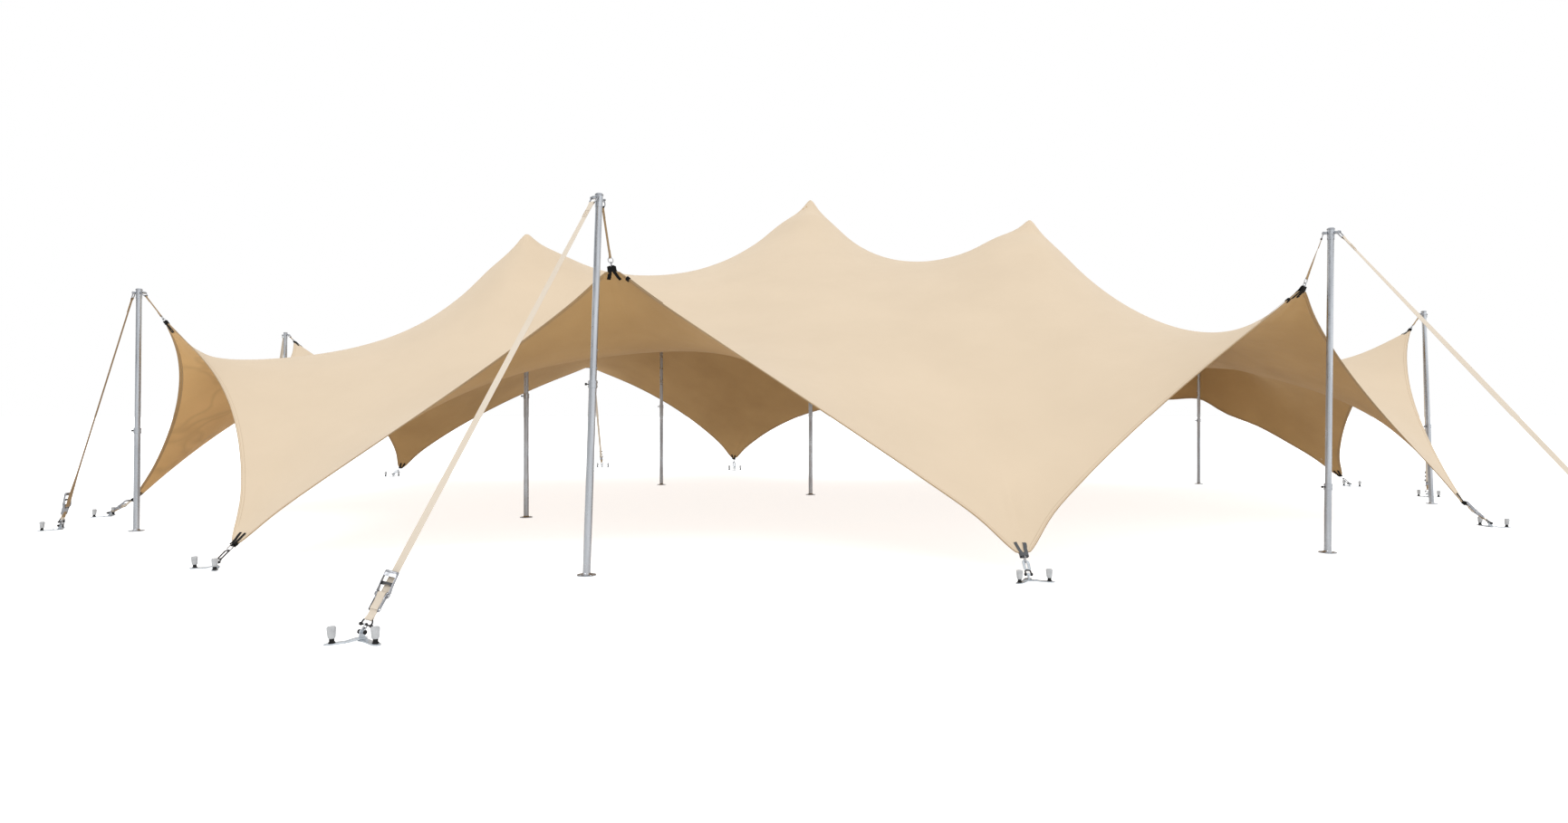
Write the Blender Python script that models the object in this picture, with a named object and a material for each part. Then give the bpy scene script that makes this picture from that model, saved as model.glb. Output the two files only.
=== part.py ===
"""Stretch tent: a tensioned sheet over inner poles, held out by leaning edge poles, guys and ground anchors.

Metres, +Z up. The ground is z = 0, the front faces -Y, and the origin is under the middle of the whole tent.
"""
import math

import bmesh
import bpy
import numpy as np
from mathutils import Matrix, Quaternion, Vector
from mathutils.bvhtree import BVHTree

# Where pieces touch
GAP = 0.0003

# Sheet: its corners, alternately tied down near the ground and hung from edge poles
LOW_CORNERS = {
    "front_left": (-4.86, -5.15, 0.18),
    "front": (1.72, -5.84, 0.22),
    "right": (7.42, -2.81, 0.31),
    "back_right": (9.19, 2.30, 0.23),
    "back_middle": (3.29, 7.49, 0.28),
    "back": (-1.23, 6.49, 0.30),
    "back_left": (-7.49, 4.43, 0.23),
    "left": (-8.02, -1.95, 0.24),
}
HIGH_CORNERS = {
    "pole_left": (-6.72, -3.31, 2.23),
    "pole_front_left": (-1.56, -5.52, 2.45),
    "pole_front_right": (4.63, -4.60, 2.41),
    "pole_right": (8.48, -0.45, 2.41),
    "pole_back": (-4.27, 6.15, 2.22),
    "pole_back_left": (-8.34, 2.25, 2.44),
}
# Corners in order round the sheet, one list for each side of its net
FRONT_SIDE = ("pole_left", "front_left", "pole_front_left", "front", "pole_front_right", "right")
RIGHT_SIDE = ("right", "pole_right", "back_right")
BACK_SIDE = ("back_left", "pole_back", "back", "back_middle", "back_right")
LEFT_SIDE = ("pole_left", "left", "pole_back_left", "back_left")
# Inner poles: foot x and y, height of the sheet over it, and where it lifts the net (share of each side)
INNER_POLES = {
    "inner_pole_left": (-3.28, -1.95, 3.44, 11 / 40, 8 / 24),
    "inner_pole_middle": (0.26, 1.04, 4.55, 20 / 40, 13 / 24),
    "inner_pole_right": (3.11, -0.95, 3.82, 27 / 40, 8 / 24),
    "inner_pole_back_left": (-2.30, 2.94, 3.20, 13 / 40, 17 / 24),
    "inner_pole_back_right": (7.22, 3.15, 2.61, 36 / 40, 22 / 24),
}
NET_LONG = 40
NET_WIDE = 24
NET_PULL_LONG = 0.422
NET_PULL_WIDE = 1
NET_BENDING = 10.9
# Pull of the hem between one corner and the next, in the order of the sides above
FRONT_HEM_PULLS = (4.77, 20.8, 72.2, 25.3, 6.52)
RIGHT_HEM_PULLS = (11.9, 16)
BACK_HEM_PULLS = (10.4, 13.8, 1.51, 4.42)
LEFT_HEM_PULLS = (2.96, 3.91, 3.75)
# Places where the sheet stands above or, with a negative push, below the plain net: share of each side, push
NET_PUSHES = {
    "behind_left_corner": (4 / 40, 3 / 24, 0.070),
    "before_left_peak": (8 / 40, 6 / 24, -0.015),
    "behind_front_left_corner": (15 / 40, 3 / 24, -0.101),
    "between_left_and_middle_peak": (15 / 40, 11 / 24, 0.028),
    "between_middle_and_right_peak": (24 / 40, 10 / 24, 0.017),
    "right_slope": (36 / 40, 7 / 24, -0.022),
    "back_left_slope": (12 / 40, 20 / 24, 0.021),
}
PUSH_SPREAD = 3.0
SHEET_THICKNESS = 0.010

# Poles: telescopic aluminium tube on a round foot
POLE_RADIUS = 0.030
INNER_TUBE_RADIUS = 0.027
COLLAR_RADIUS = 0.034
COLLAR_LENGTH = 0.060
FOOT_RADIUS = 0.075
FOOT_THICKNESS = 0.008
POLE_SIDES = 16
# Edge poles: foot x and y, head x, y and z, height of the telescopic joint
EDGE_POLES = {
    "pole_left": ((-7.12, -3.20), (-7.09, -3.20, 2.61), 1.05),
    "pole_front_left": ((-1.70, -5.84), (-1.60, -5.84, 3.00), 1.47),
    "pole_front_right": ((4.80, -4.70), (4.83, -4.70, 2.96), 0.57),
    "pole_right": ((8.87, -0.33), (8.76, -0.33, 2.69), 1.05),
    "pole_back": ((-4.31, 6.60), (-4.31, 6.56, 2.66), 1.05),
    "pole_back_left": ((-8.56, 2.30), (-8.54, 2.30, 2.62), 1.05),
}
# Eyes on a pole's head, where a hanger and a guy are hooked in
EYE_RADIUS = 0.014
EYE_LENGTH = 0.036
EYE_REACH = 0.058
EYE_DROP = 0.045
LUG_THICKNESS = 0.010

# Webbing
GUY_WIDTH = 0.050
HANGER_WIDTH = 0.030
WEBBING_THICKNESS = 0.006

# Guy anchors: x and y of the eye at the ground
GUY_ANCHORS = {
    "pole_left": (-8.02, -3.10),
    "pole_front_left": (-2.52, -7.86),
    "pole_front_right": (6.76, -5.84),
    "pole_right": (9.50, 0.62),
    "pole_back": (-4.33, 7.86),
    "pole_back_left": (-9.62, 3.50),
}
# Turn of a guy's strap about its length; the others hang level
GUY_TWISTS = {"pole_front_left": math.radians(20), "pole_front_right": math.radians(20)}
# Sheet anchors: x and y of the eye at the ground
SHEET_ANCHORS = {
    "front_left": (-4.82, -5.50),
    "front": (1.71, -6.06),
    "right": (7.70, -2.88),
    "back_right": (9.53, 2.56),
    "back_middle": (3.38, 7.85),
    "back": (-1.23, 6.85),
    "back_left": (-7.86, 4.93),
    "left": (-8.40, -1.86),
}
# An anchor: two steel bars in a V, a capped stake at each outer end, an eye on a lug in the middle
ANCHOR_BAR_LENGTH = 0.200
ANCHOR_BAR_WIDTH = 0.056
ANCHOR_BAR_THICKNESS = 0.010
ANCHOR_BEND = math.radians(38)
# Turn of an anchor's bars on the ground; the others lie square to what they hold
ANCHOR_TURNS = {"guy_anchor_front_left": math.radians(23), "sheet_anchor_front": math.radians(15)}
ANCHOR_EYE_HEIGHT = 0.048
STAKE_RADIUS = 0.014
STAKE_NECK = 0.030
CAP_RADIUS = 0.0245
CAP_HEIGHT = 0.060
ROUND_SIDES = 12

# Ratchets: side plates on a spindle, with a handle that turns on the spindle's ends
RATCHET_HALF_WIDTH = 0.031
RATCHET_PLATE = 0.004
RATCHET_FRAME_LENGTH = 0.090
RATCHET_PLATE_HALF_HEIGHT = 0.013
SPINDLE_RADIUS = 0.008
SPINDLE_HALF_LENGTH = 0.045
HANDLE_LENGTH = 0.135
HANDLE_ARM_INSET = 0.036
HANDLE_ARM = 0.004
HANDLE_ARM_HALF_HEIGHT = 0.011
HANDLE_HOLE_RADIUS = 0.009
HANDLE_GRIP_RADIUS = 0.010
HANDLE_GRIP_RISE = 0.020
BOLT_RADIUS = 0.007
# How far up the guy from its anchor eye the spindle sits
GUY_SPINDLE_REACH = 0.232
TIE_SPINDLE_REACH = 0.200
# Guys and low ties whose ratchet handle turns
TURNING_GUYS = ("pole_left", "pole_front_left")
RATCHET_TIES = ("left", "right")

MATERIALS = {}


def material(name, colour, roughness, metallic):
    """One Principled material for each finish, made the first time it is asked for."""
    if name not in MATERIALS:
        made = bpy.data.materials.new(name)
        made.use_nodes = True
        shader = made.node_tree.nodes["Principled BSDF"]
        shader.inputs["Base Color"].default_value = (*colour, 1.0)
        shader.inputs["Roughness"].default_value = roughness
        shader.inputs["Metallic"].default_value = metallic
        MATERIALS[name] = made
    return MATERIALS[name]


def sheet_fabric():
    return material("sheet_fabric", (0.80, 0.68, 0.54), 0.8, 0.0)


def webbing():
    return material("webbing", (0.85, 0.76, 0.65), 0.8, 0.0)


def aluminium():
    return material("aluminium", (0.66, 0.69, 0.74), 0.35, 1.0)


def steel():
    return material("steel", (0.52, 0.56, 0.60), 0.4, 1.0)


def add_object(name, vertices, faces, finish, origin=(0, 0, 0), smooth_angle=None):
    """A named object from points and faces given in world metres, with its origin where asked."""
    mesh = bpy.data.meshes.new(name)
    centre = Vector(origin)
    mesh.from_pydata([tuple(Vector(p) - centre) for p in vertices], [], [list(f) for f in faces])
    mesh.materials.append(finish)
    if smooth_angle is not None:
        mesh.shade_smooth()
        mesh.set_sharp_from_angle(angle=smooth_angle)
    made = bpy.data.objects.new(name, mesh)
    made.location = centre
    bpy.context.scene.collection.objects.link(made)
    return made


def loft(rings):
    """Closed skin through rings of equal size, wound anticlockwise seen from the last ring."""
    size = len(rings[0])
    vertices = [p for ring in rings for p in ring]
    faces = [list(range(size))[::-1]]
    for k in range(len(rings) - 1):
        low, high = k * size, (k + 1) * size
        for i in range(size):
            j = (i + 1) % size
            faces.append((low + i, low + j, high + j, high + i))
    last = (len(rings) - 1) * size
    faces.append([last + i for i in range(size)])
    return vertices, faces


def circle(centre, radius, sides, across, up):
    """Points round a centre in the plane of two unit vectors, turning from across towards up."""
    turns = [2 * math.pi * (i + 0.5) / sides for i in range(sides)]
    return [centre + across * (radius * math.cos(t)) + up * (radius * math.sin(t)) for t in turns]


def turned(base, tip, profile, sides=ROUND_SIDES):
    """Round solid along base to tip; profile holds (distance from base, radius)."""
    along = (tip - base).normalized()
    across = along.orthogonal().normalized()
    up = along.cross(across)
    return loft([circle(base + along * d, r, sides, across, up) for d, r in profile])


def rod(start, end, radius, sides=ROUND_SIDES):
    return turned(start, end, [(0.0, radius), ((end - start).length, radius)], sides)


def flat_bar(start, end, side, stations):
    """Bar of rectangular section along start to end; stations hold (distance, width, thickness)."""
    along = (end - start).normalized()
    across = (side - along * side.dot(along)).normalized()
    up = along.cross(across)
    rings = []
    for distance, width, thickness in stations:
        centre = start + along * distance
        a, u = across * (width / 2), up * (thickness / 2)
        rings.append([centre - a - u, centre + a - u, centre + a + u, centre - a + u])
    return loft(rings)


def plate(outline, thickness, frame):
    """Flat plate: an outline in the frame's x and y, thickness centred on its z."""
    rings = [[frame @ Vector((x, y, z)) for x, y in outline] for z in (-thickness / 2, thickness / 2)]
    return loft(rings)


def fuse(name, shapes, finish, cuts=(), origin=(0, 0, 0), smooth_angle=math.radians(35)):
    """One closed body from overlapping closed shapes, less the cuts."""
    body = add_object(name, *shapes[0], finish)
    tools = []
    for operation, group in (("UNION", shapes[1:]), ("DIFFERENCE", cuts)):
        for shape in group:
            tool = add_object(name + "_tool", *shape, finish)
            step = body.modifiers.new("join", "BOOLEAN")
            step.operation = operation
            step.solver = "EXACT"
            step.object = tool
            tools.append(tool)
    seen = body.evaluated_get(bpy.context.evaluated_depsgraph_get())
    mesh = bpy.data.meshes.new_from_object(seen)
    body.modifiers.clear()
    for tool in tools:
        bpy.data.objects.remove(tool)
    bpy.data.objects.remove(body)
    mesh.name = name
    mesh.transform(Matrix.Translation(-Vector(origin)))
    mesh.shade_smooth()
    mesh.set_sharp_from_angle(angle=smooth_angle)
    made = bpy.data.objects.new(name, mesh)
    made.location = Vector(origin)
    bpy.context.scene.collection.objects.link(made)
    return made


def upright_side(direction):
    """Unit vector across a direction and level with the ground."""
    return Vector((-direction.y, direction.x, 0.0)).normalized()


def net_marks(side, count):
    """Net positions of the corners along one side, spread evenly."""
    return {name: round(i * count / (len(side) - 1)) for i, name in enumerate(side)}


def hem_pulls(pulls, count):
    """Pull of every hem link along one side, from one pull for each stretch between corners."""
    return np.repeat(pulls, count // len(pulls))


def net_load():
    """Push on every knot: each named place pushes its neighbours too, less and less with distance."""
    along, across = np.meshgrid(np.arange(NET_LONG + 1), np.arange(NET_WIDE + 1), indexing="ij")
    load = np.zeros(((NET_LONG + 1) * (NET_WIDE + 1), 3))
    for long_share, wide_share, push in NET_PUSHES.values():
        away = (along - NET_LONG * long_share) ** 2 + (across - NET_WIDE * wide_share) ** 2
        load[:, 2] += push * np.exp(-away / (2 * PUSH_SPREAD**2)).ravel()
    return load


def sheet_net():
    """Middle surface of the sheet: a pulled net, slightly stiff in bending, held at corners and pole tops."""
    corners = {**LOW_CORNERS, **HIGH_CORNERS}
    held = {}
    for name, i in net_marks(FRONT_SIDE, NET_LONG).items():
        held[i, 0] = corners[name]
    for name, i in net_marks(BACK_SIDE, NET_LONG).items():
        held[i, NET_WIDE] = corners[name]
    for name, j in net_marks(LEFT_SIDE, NET_WIDE).items():
        held[0, j] = corners[name]
    for name, j in net_marks(RIGHT_SIDE, NET_WIDE).items():
        held[NET_LONG, j] = corners[name]
    for x, y, top, long_share, wide_share in INNER_POLES.values():
        held[round(NET_LONG * long_share), round(NET_WIDE * wide_share)] = (x, y, top)
    knots = np.arange((NET_LONG + 1) * (NET_WIDE + 1)).reshape(NET_LONG + 1, NET_WIDE + 1)
    pull_long = np.full((NET_LONG, NET_WIDE + 1), NET_PULL_LONG)
    pull_long[:, 0] = hem_pulls(FRONT_HEM_PULLS, NET_LONG)
    pull_long[:, -1] = hem_pulls(BACK_HEM_PULLS, NET_LONG)
    pull_wide = np.full((NET_LONG + 1, NET_WIDE), NET_PULL_WIDE)
    pull_wide[0] = hem_pulls(LEFT_HEM_PULLS, NET_WIDE)
    pull_wide[-1] = hem_pulls(RIGHT_HEM_PULLS, NET_WIDE)
    stiffness = np.zeros((knots.size, knots.size))
    for starts, ends, pulls in ((knots[:-1], knots[1:], pull_long), (knots[:, :-1], knots[:, 1:], pull_wide)):
        a, b, w = starts.ravel(), ends.ravel(), pulls.ravel()
        np.add.at(stiffness, (a, b), -w)
        np.add.at(stiffness, (b, a), -w)
        np.add.at(stiffness, (a, a), w)
        np.add.at(stiffness, (b, b), w)
    middles = knots[1:-1, 1:-1].ravel()
    bulge = np.zeros((knots.size, knots.size))
    bulge[middles, middles] = -1.0
    for beside in (knots[:-2, 1:-1], knots[2:, 1:-1], knots[1:-1, :-2], knots[1:-1, 2:]):
        bulge[middles, beside.ravel()] = 0.25
    stiffness += NET_BENDING * (bulge.T @ bulge)
    fixed = np.array([knots[place] for place in held])
    free = np.setdiff1d(knots.ravel(), fixed)
    points = np.zeros((knots.size, 3))
    points[fixed] = list(held.values())
    load = net_load()[free] - stiffness[np.ix_(free, fixed)] @ points[fixed]
    points[free] = np.linalg.solve(stiffness[np.ix_(free, free)], load)
    return points.reshape(NET_LONG + 1, NET_WIDE + 1, 3)


def net_normals(points):
    """Unit normal at every knot, from the slopes of the net along and across."""
    along = np.gradient(points, axis=0)
    across = np.gradient(points, axis=1)
    normals = np.cross(along, across)
    return normals / np.linalg.norm(normals, axis=2, keepdims=True)


def make_sheet():
    """The sheet as one closed solid of even thickness."""
    points = sheet_net()
    normals = net_normals(points)
    top = points + normals * (SHEET_THICKNESS / 2)
    under = points - normals * (SHEET_THICKNESS / 2)
    knots = np.arange(points.shape[0] * points.shape[1]).reshape(points.shape[:2])
    cells = np.stack([knots[:-1, :-1], knots[1:, :-1], knots[1:, 1:], knots[:-1, 1:]], axis=-1).reshape(-1, 4)
    count = knots.size
    rim = np.concatenate([knots[:, 0], knots[-1, 1:], knots[-2::-1, -1], knots[0, -2:0:-1]])
    after = np.roll(rim, -1)
    edge = np.stack([rim, rim + count, after + count, after], axis=-1)
    faces = np.concatenate([cells, cells[:, ::-1] + count, edge])
    vertices = np.concatenate([top.reshape(-1, 3), under.reshape(-1, 3)])
    mesh_faces = [tuple(int(v) for v in face) for face in faces]
    sheet = add_object("canopy_sheet", [Vector(v) for v in vertices], mesh_faces, sheet_fabric())
    shape = bmesh.new()
    shape.from_mesh(sheet.data)
    bmesh.ops.triangulate(shape, faces=shape.faces[:])
    bmesh.ops.recalc_face_normals(shape, faces=shape.faces[:])
    shape.to_mesh(sheet.data)
    shape.free()
    sheet.data.shade_smooth()
    return sheet


def pole_rings(foot, head, joint_height, tip):
    """Rings of a telescopic pole: foot plate, outer tube, collar, inner tube, then the tip's own rings."""
    heights = [
        (0.0, FOOT_RADIUS),
        (FOOT_THICKNESS, FOOT_RADIUS),
        (FOOT_THICKNESS + 0.001, POLE_RADIUS),
        (joint_height, POLE_RADIUS),
        (joint_height + 0.001, COLLAR_RADIUS),
        (joint_height + COLLAR_LENGTH, COLLAR_RADIUS),
        (joint_height + COLLAR_LENGTH + 0.001, INNER_TUBE_RADIUS),
    ] + tip
    lean = (head - foot) / head.z
    x_axis, y_axis = Vector((1, 0, 0)), Vector((0, 1, 0))
    return [circle(foot + lean * z, r, POLE_SIDES, x_axis, y_axis) for z, r in heights]


def eye_centre(head, towards):
    """Centre of a head eye on the side that faces a point."""
    flat = Vector((towards.x - head.x, towards.y - head.y, 0.0)).normalized()
    return head + flat * EYE_REACH - Vector((0, 0, EYE_DROP))


def make_edge_pole(name):
    """Edge pole with its foot, telescopic joint, head cap and the two eyes for hanger and guy."""
    foot_plan, head_point, joint_height = EDGE_POLES[name]
    foot, head = Vector((*foot_plan, 0.0)), Vector(head_point)
    tip = [
        (head.z - 0.110, INNER_TUBE_RADIUS),
        (head.z - 0.109, POLE_RADIUS),
        (head.z - 0.006, POLE_RADIUS),
        (head.z, POLE_RADIUS - 0.006),
    ]
    shapes = [loft(pole_rings(foot, head, joint_height, tip))]
    for towards in (Vector(HIGH_CORNERS[name]), Vector((*GUY_ANCHORS[name], 0.0))):
        eye = eye_centre(head, towards)
        side = upright_side(towards - head)
        core = Vector((head.x, head.y, eye.z))
        reach = (eye - core).length
        shapes.append(flat_bar(core, eye, side, [(0.0, LUG_THICKNESS, 0.040), (reach, LUG_THICKNESS, 0.018)]))
        half = side * (EYE_LENGTH / 2)
        shapes.append(rod(eye - half, eye + half, EYE_RADIUS))
    return fuse(name, shapes, aluminium())


def make_inner_pole(name, sheet):
    """Inner pole whose round head fits close under the sheet."""
    x, y, top, _, _ = INNER_POLES[name]
    foot = Vector((x, y, 0.0))
    joint_height = top * 0.42
    dome = [(-0.150, INNER_TUBE_RADIUS), (-0.140, 0.040), (-0.080, 0.040), (-0.030, 0.028), (0.0, 0.010)]
    corners = [v.co.copy() for v in sheet.data.vertices]
    surface = BVHTree.FromPolygons(corners, [tuple(f.vertices) for f in sheet.data.polygons])
    guess = top / 2
    rooms = []
    x_axis, y_axis = Vector((1, 0, 0)), Vector((0, 1, 0))
    for drop, radius in dome:
        for point in circle(Vector((x, y, guess + drop)), radius, POLE_SIDES, x_axis, y_axis):
            hit = surface.ray_cast(point, Vector((0, 0, 1)))
            rooms.append(hit[3])
    head_height = guess + min(rooms) - GAP
    head = Vector((x, y, head_height))
    tip = [(head_height + drop, radius) for drop, radius in dome]
    vertices, faces = loft(pole_rings(foot, head, joint_height, tip))
    return add_object(name, vertices, faces, aluminium(), smooth_angle=math.radians(35))


def sheet_reach(sheet, corner, along):
    """How far past its corner point the sheet's thickness reaches along a direction."""
    near = [v.co for v in sheet.data.vertices if (v.co - corner).length < 0.1]
    return max((p - corner).dot(along) for p in near)


def make_hanger(name, sheet):
    """Webbing clamp at the sheet's corner, a link, and the strap up to the pole's head."""
    corner, head = Vector(HIGH_CORNERS[name]), Vector(EDGE_POLES[name][1])
    eye = eye_centre(head, corner)
    along = (eye - corner).normalized()
    start = corner + along * (sheet_reach(sheet, corner, along) + GAP)
    length = (eye - start).length - EYE_RADIUS - GAP
    side = upright_side(eye - corner)
    clamp, link = min(0.045, length * 0.2), min(0.130, length * 0.5)
    stations = [
        (0.0, 0.060, 0.022),
        (clamp, 0.044, 0.018),
        (clamp + 0.002, 0.016, 0.012),
        (link, 0.016, 0.012),
        (link + 0.002, HANGER_WIDTH, WEBBING_THICKNESS),
        (length, HANGER_WIDTH, WEBBING_THICKNESS),
    ]
    vertices, faces = flat_bar(start, eye, side, stations)
    return add_object("hanger_" + name[5:], vertices, faces, webbing())


def guy_line(name):
    """Head eye, anchor eye and the side vector of a guy: level, then turned by the strap's twist."""
    head = Vector(EDGE_POLES[name][1])
    ground = Vector((*GUY_ANCHORS[name], 0.0))
    top = eye_centre(head, ground)
    low = ground + Vector((0, 0, ANCHOR_EYE_HEIGHT))
    side = upright_side(top - low)
    side.rotate(Quaternion(top - low, GUY_TWISTS.get(name, 0.0)))
    return top, low, side


def ratchet_frame(origin, along, side):
    """Matrix whose x runs up the strap, y along the spindle and z out of the strap's face."""
    out = along.cross(side)
    if out.z < 0:
        side, out = -side, -out
    return Matrix.Translation(origin) @ Matrix((along, side, out)).transposed().to_4x4()


def ratchet_body_shapes(frame):
    """Two side plates on a spindle, and the bolt at their lower end."""
    shapes = []
    plate_outline = [
        (-RATCHET_FRAME_LENGTH - 0.012, -0.008),
        (0.0, -RATCHET_PLATE_HALF_HEIGHT),
        (0.018, -0.006),
        (0.018, 0.006),
        (0.0, RATCHET_PLATE_HALF_HEIGHT),
        (-RATCHET_FRAME_LENGTH - 0.012, 0.008),
    ]
    for sign in (-1, 1):
        sideways = Matrix.Translation((0, sign * (RATCHET_HALF_WIDTH - RATCHET_PLATE / 2), 0))
        upright = sideways @ Matrix.Rotation(math.radians(90), 4, "X")
        shapes.append(plate(plate_outline, RATCHET_PLATE, frame @ upright))
    y = Vector((0, SPINDLE_HALF_LENGTH, 0))
    shapes.append(rod(frame @ -y, frame @ y, SPINDLE_RADIUS))
    bolt = Vector((-RATCHET_FRAME_LENGTH, 0, 0))
    inner = Vector((0, RATCHET_HALF_WIDTH - RATCHET_PLATE / 2, 0))
    shapes.append(rod(frame @ (bolt - inner), frame @ (bolt + inner), BOLT_RADIUS))
    return shapes


def ratchet_handle_shapes(frame):
    """Two arms outside the side plates, joined by the grip; and the holes that turn on the spindle."""
    outline = [
        (-0.016, -HANDLE_ARM_HALF_HEIGHT),
        (0.020, -HANDLE_ARM_HALF_HEIGHT - 0.002),
        (HANDLE_LENGTH, HANDLE_GRIP_RISE - 0.008),
        (HANDLE_LENGTH, HANDLE_GRIP_RISE + 0.008),
        (0.020, HANDLE_ARM_HALF_HEIGHT + 0.002),
        (-0.016, HANDLE_ARM_HALF_HEIGHT),
    ]
    shapes = []
    for sign in (-1, 1):
        upright = Matrix.Translation((0, sign * (HANDLE_ARM_INSET + HANDLE_ARM / 2), 0)) @ Matrix.Rotation(
            math.radians(90), 4, "X"
        )
        shapes.append(plate(outline, HANDLE_ARM, frame @ upright))
    grip = Vector((HANDLE_LENGTH - 0.004, 0, HANDLE_GRIP_RISE))
    across = Vector((0, HANDLE_ARM_INSET + HANDLE_ARM / 2, 0))
    shapes.append(rod(frame @ (grip - across), frame @ (grip + across), HANDLE_GRIP_RADIUS))
    reach = Vector((0, HANDLE_ARM_INSET + 2 * HANDLE_ARM, 0))
    hole = rod(frame @ -reach, frame @ reach, HANDLE_HOLE_RADIUS, 16)
    return shapes, hole


def strap_bar(start, end, side, width):
    """Flat webbing between two points."""
    length = (end - start).length
    return flat_bar(start, end, side, [(0.0, width, WEBBING_THICKNESS), (length, width, WEBBING_THICKNESS)])


def make_guy(name):
    """Guy of one edge pole: the strap from its head, the ratchet with its lower strap, and the handle."""
    place = name[5:]
    top, low, side = guy_line(name)
    along = (top - low).normalized()
    spindle = low + along * GUY_SPINDLE_REACH
    frame = ratchet_frame(spindle, along, side)
    strap_start, strap_end = spindle + along * (SPINDLE_RADIUS + GAP), top - along * (EYE_RADIUS + GAP)
    strap = strap_bar(strap_start, strap_end, side, GUY_WIDTH)
    add_object("guy_strap_" + place, *strap, webbing())
    lower = strap_bar(low + along * (EYE_RADIUS + GAP), spindle - along * RATCHET_FRAME_LENGTH, side, 0.044)
    shapes = ratchet_body_shapes(frame) + [lower]
    handle_shapes, hole = ratchet_handle_shapes(frame)
    if name in TURNING_GUYS:
        fuse("ratchet_handle_" + place, handle_shapes, steel(), cuts=[hole], origin=spindle)
    else:
        shapes += handle_shapes
    fuse("ratchet_" + place, shapes, steel())


def make_tie(name, sheet):
    """What ties a low corner down: webbing clamp, link, and on some a ratchet, to the anchor's eye."""
    corner = Vector(LOW_CORNERS[name])
    low = Vector((*SHEET_ANCHORS[name], ANCHOR_EYE_HEIGHT))
    along = (low - corner).normalized()
    side = upright_side(low - corner)
    start = corner + along * (sheet_reach(sheet, corner, along) + GAP)
    length = (low - start).length - EYE_RADIUS - GAP
    if name in RATCHET_TIES:
        spindle = low - along * TIE_SPINDLE_REACH
        stop = (spindle - start).length - SPINDLE_RADIUS - GAP
        clamp = [
            (0.0, 0.060, 0.022),
            (0.040, 0.050, 0.018),
            (0.042, 0.044, WEBBING_THICKNESS),
            (stop, 0.044, WEBBING_THICKNESS),
        ]
        add_object("tie_" + name, *flat_bar(start, low, side, clamp), webbing())
        frame = ratchet_frame(spindle, -along, side)
        lower_start, lower_end = low - along * (EYE_RADIUS + GAP), spindle + along * RATCHET_FRAME_LENGTH
        lower = strap_bar(lower_start, lower_end, side, 0.044)
        fuse("tie_ratchet_" + name, ratchet_body_shapes(frame) + [lower], steel())
        handle_shapes, hole = ratchet_handle_shapes(frame)
        fuse("tie_ratchet_handle_" + name, handle_shapes, steel(), cuts=[hole], origin=spindle)
        return
    stations = [
        (0.0, 0.060, 0.022),
        (min(0.045, length * 0.4), 0.044, 0.018),
        (min(0.047, length * 0.42), 0.018, 0.014),
        (length, 0.018, 0.014),
    ]
    add_object("tie_" + name, *flat_bar(start, low, side, stations), steel())


def make_anchor(name, plan, towards):
    """Ground anchor: two bars in a V, a capped stake at each outer end, a lug with an eye."""
    centre = Vector((*plan, 0.0))
    pull = Vector((towards.x - centre.x, towards.y - centre.y, 0.0)).normalized()
    side = upright_side(pull)
    shapes = []
    half = ANCHOR_BAR_THICKNESS / 2
    for sign in (-1, 1):
        outward = (side * (sign * math.cos(ANCHOR_BEND)) - pull * math.sin(ANCHOR_BEND)).normalized()
        outward.rotate(Quaternion((0, 0, 1), ANCHOR_TURNS.get(name, 0.0)))
        lift = Vector((0, 0, half + (0.0 if sign < 0 else half * 0.8)))
        bar_frame = Matrix.Translation(centre + lift) @ Matrix(
            (outward, Vector((0, 0, 1)).cross(outward), Vector((0, 0, 1)))
        ).transposed().to_4x4()
        w = ANCHOR_BAR_WIDTH / 2
        outline = [
            (-0.030, 0.0),
            (-0.008, -w),
            (ANCHOR_BAR_LENGTH - 0.030, -w * 0.8),
            (ANCHOR_BAR_LENGTH, 0.0),
            (ANCHOR_BAR_LENGTH - 0.030, w * 0.8),
            (-0.008, w),
        ]
        thickness = ANCHOR_BAR_THICKNESS if sign < 0 else ANCHOR_BAR_THICKNESS * 1.8
        shapes.append(plate(outline, thickness, bar_frame))
        stake = centre + outward * (ANCHOR_BAR_LENGTH - 0.045)
        neck_top = ANCHOR_BAR_THICKNESS + STAKE_NECK
        profile = [
            (0.002, STAKE_RADIUS),
            (neck_top, STAKE_RADIUS),
            (neck_top + 0.001, CAP_RADIUS - 0.002),
            (neck_top + CAP_HEIGHT, CAP_RADIUS),
        ]
        shapes.append(turned(stake, stake + Vector((0, 0, 1)), profile))
    eye = centre + Vector((0, 0, ANCHOR_EYE_HEIGHT))
    lug = [(0.0, LUG_THICKNESS, 0.034), (ANCHOR_EYE_HEIGHT - 0.003, LUG_THICKNESS, 0.020)]
    shapes.append(flat_bar(centre + Vector((0, 0, 0.003)), eye, side, lug))
    shapes.append(rod(eye - side * (EYE_LENGTH / 2), eye + side * (EYE_LENGTH / 2), EYE_RADIUS))
    return fuse(name, shapes, steel())


def clear_scene():
    for old in list(bpy.data.objects):
        bpy.data.objects.remove(old)


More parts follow.
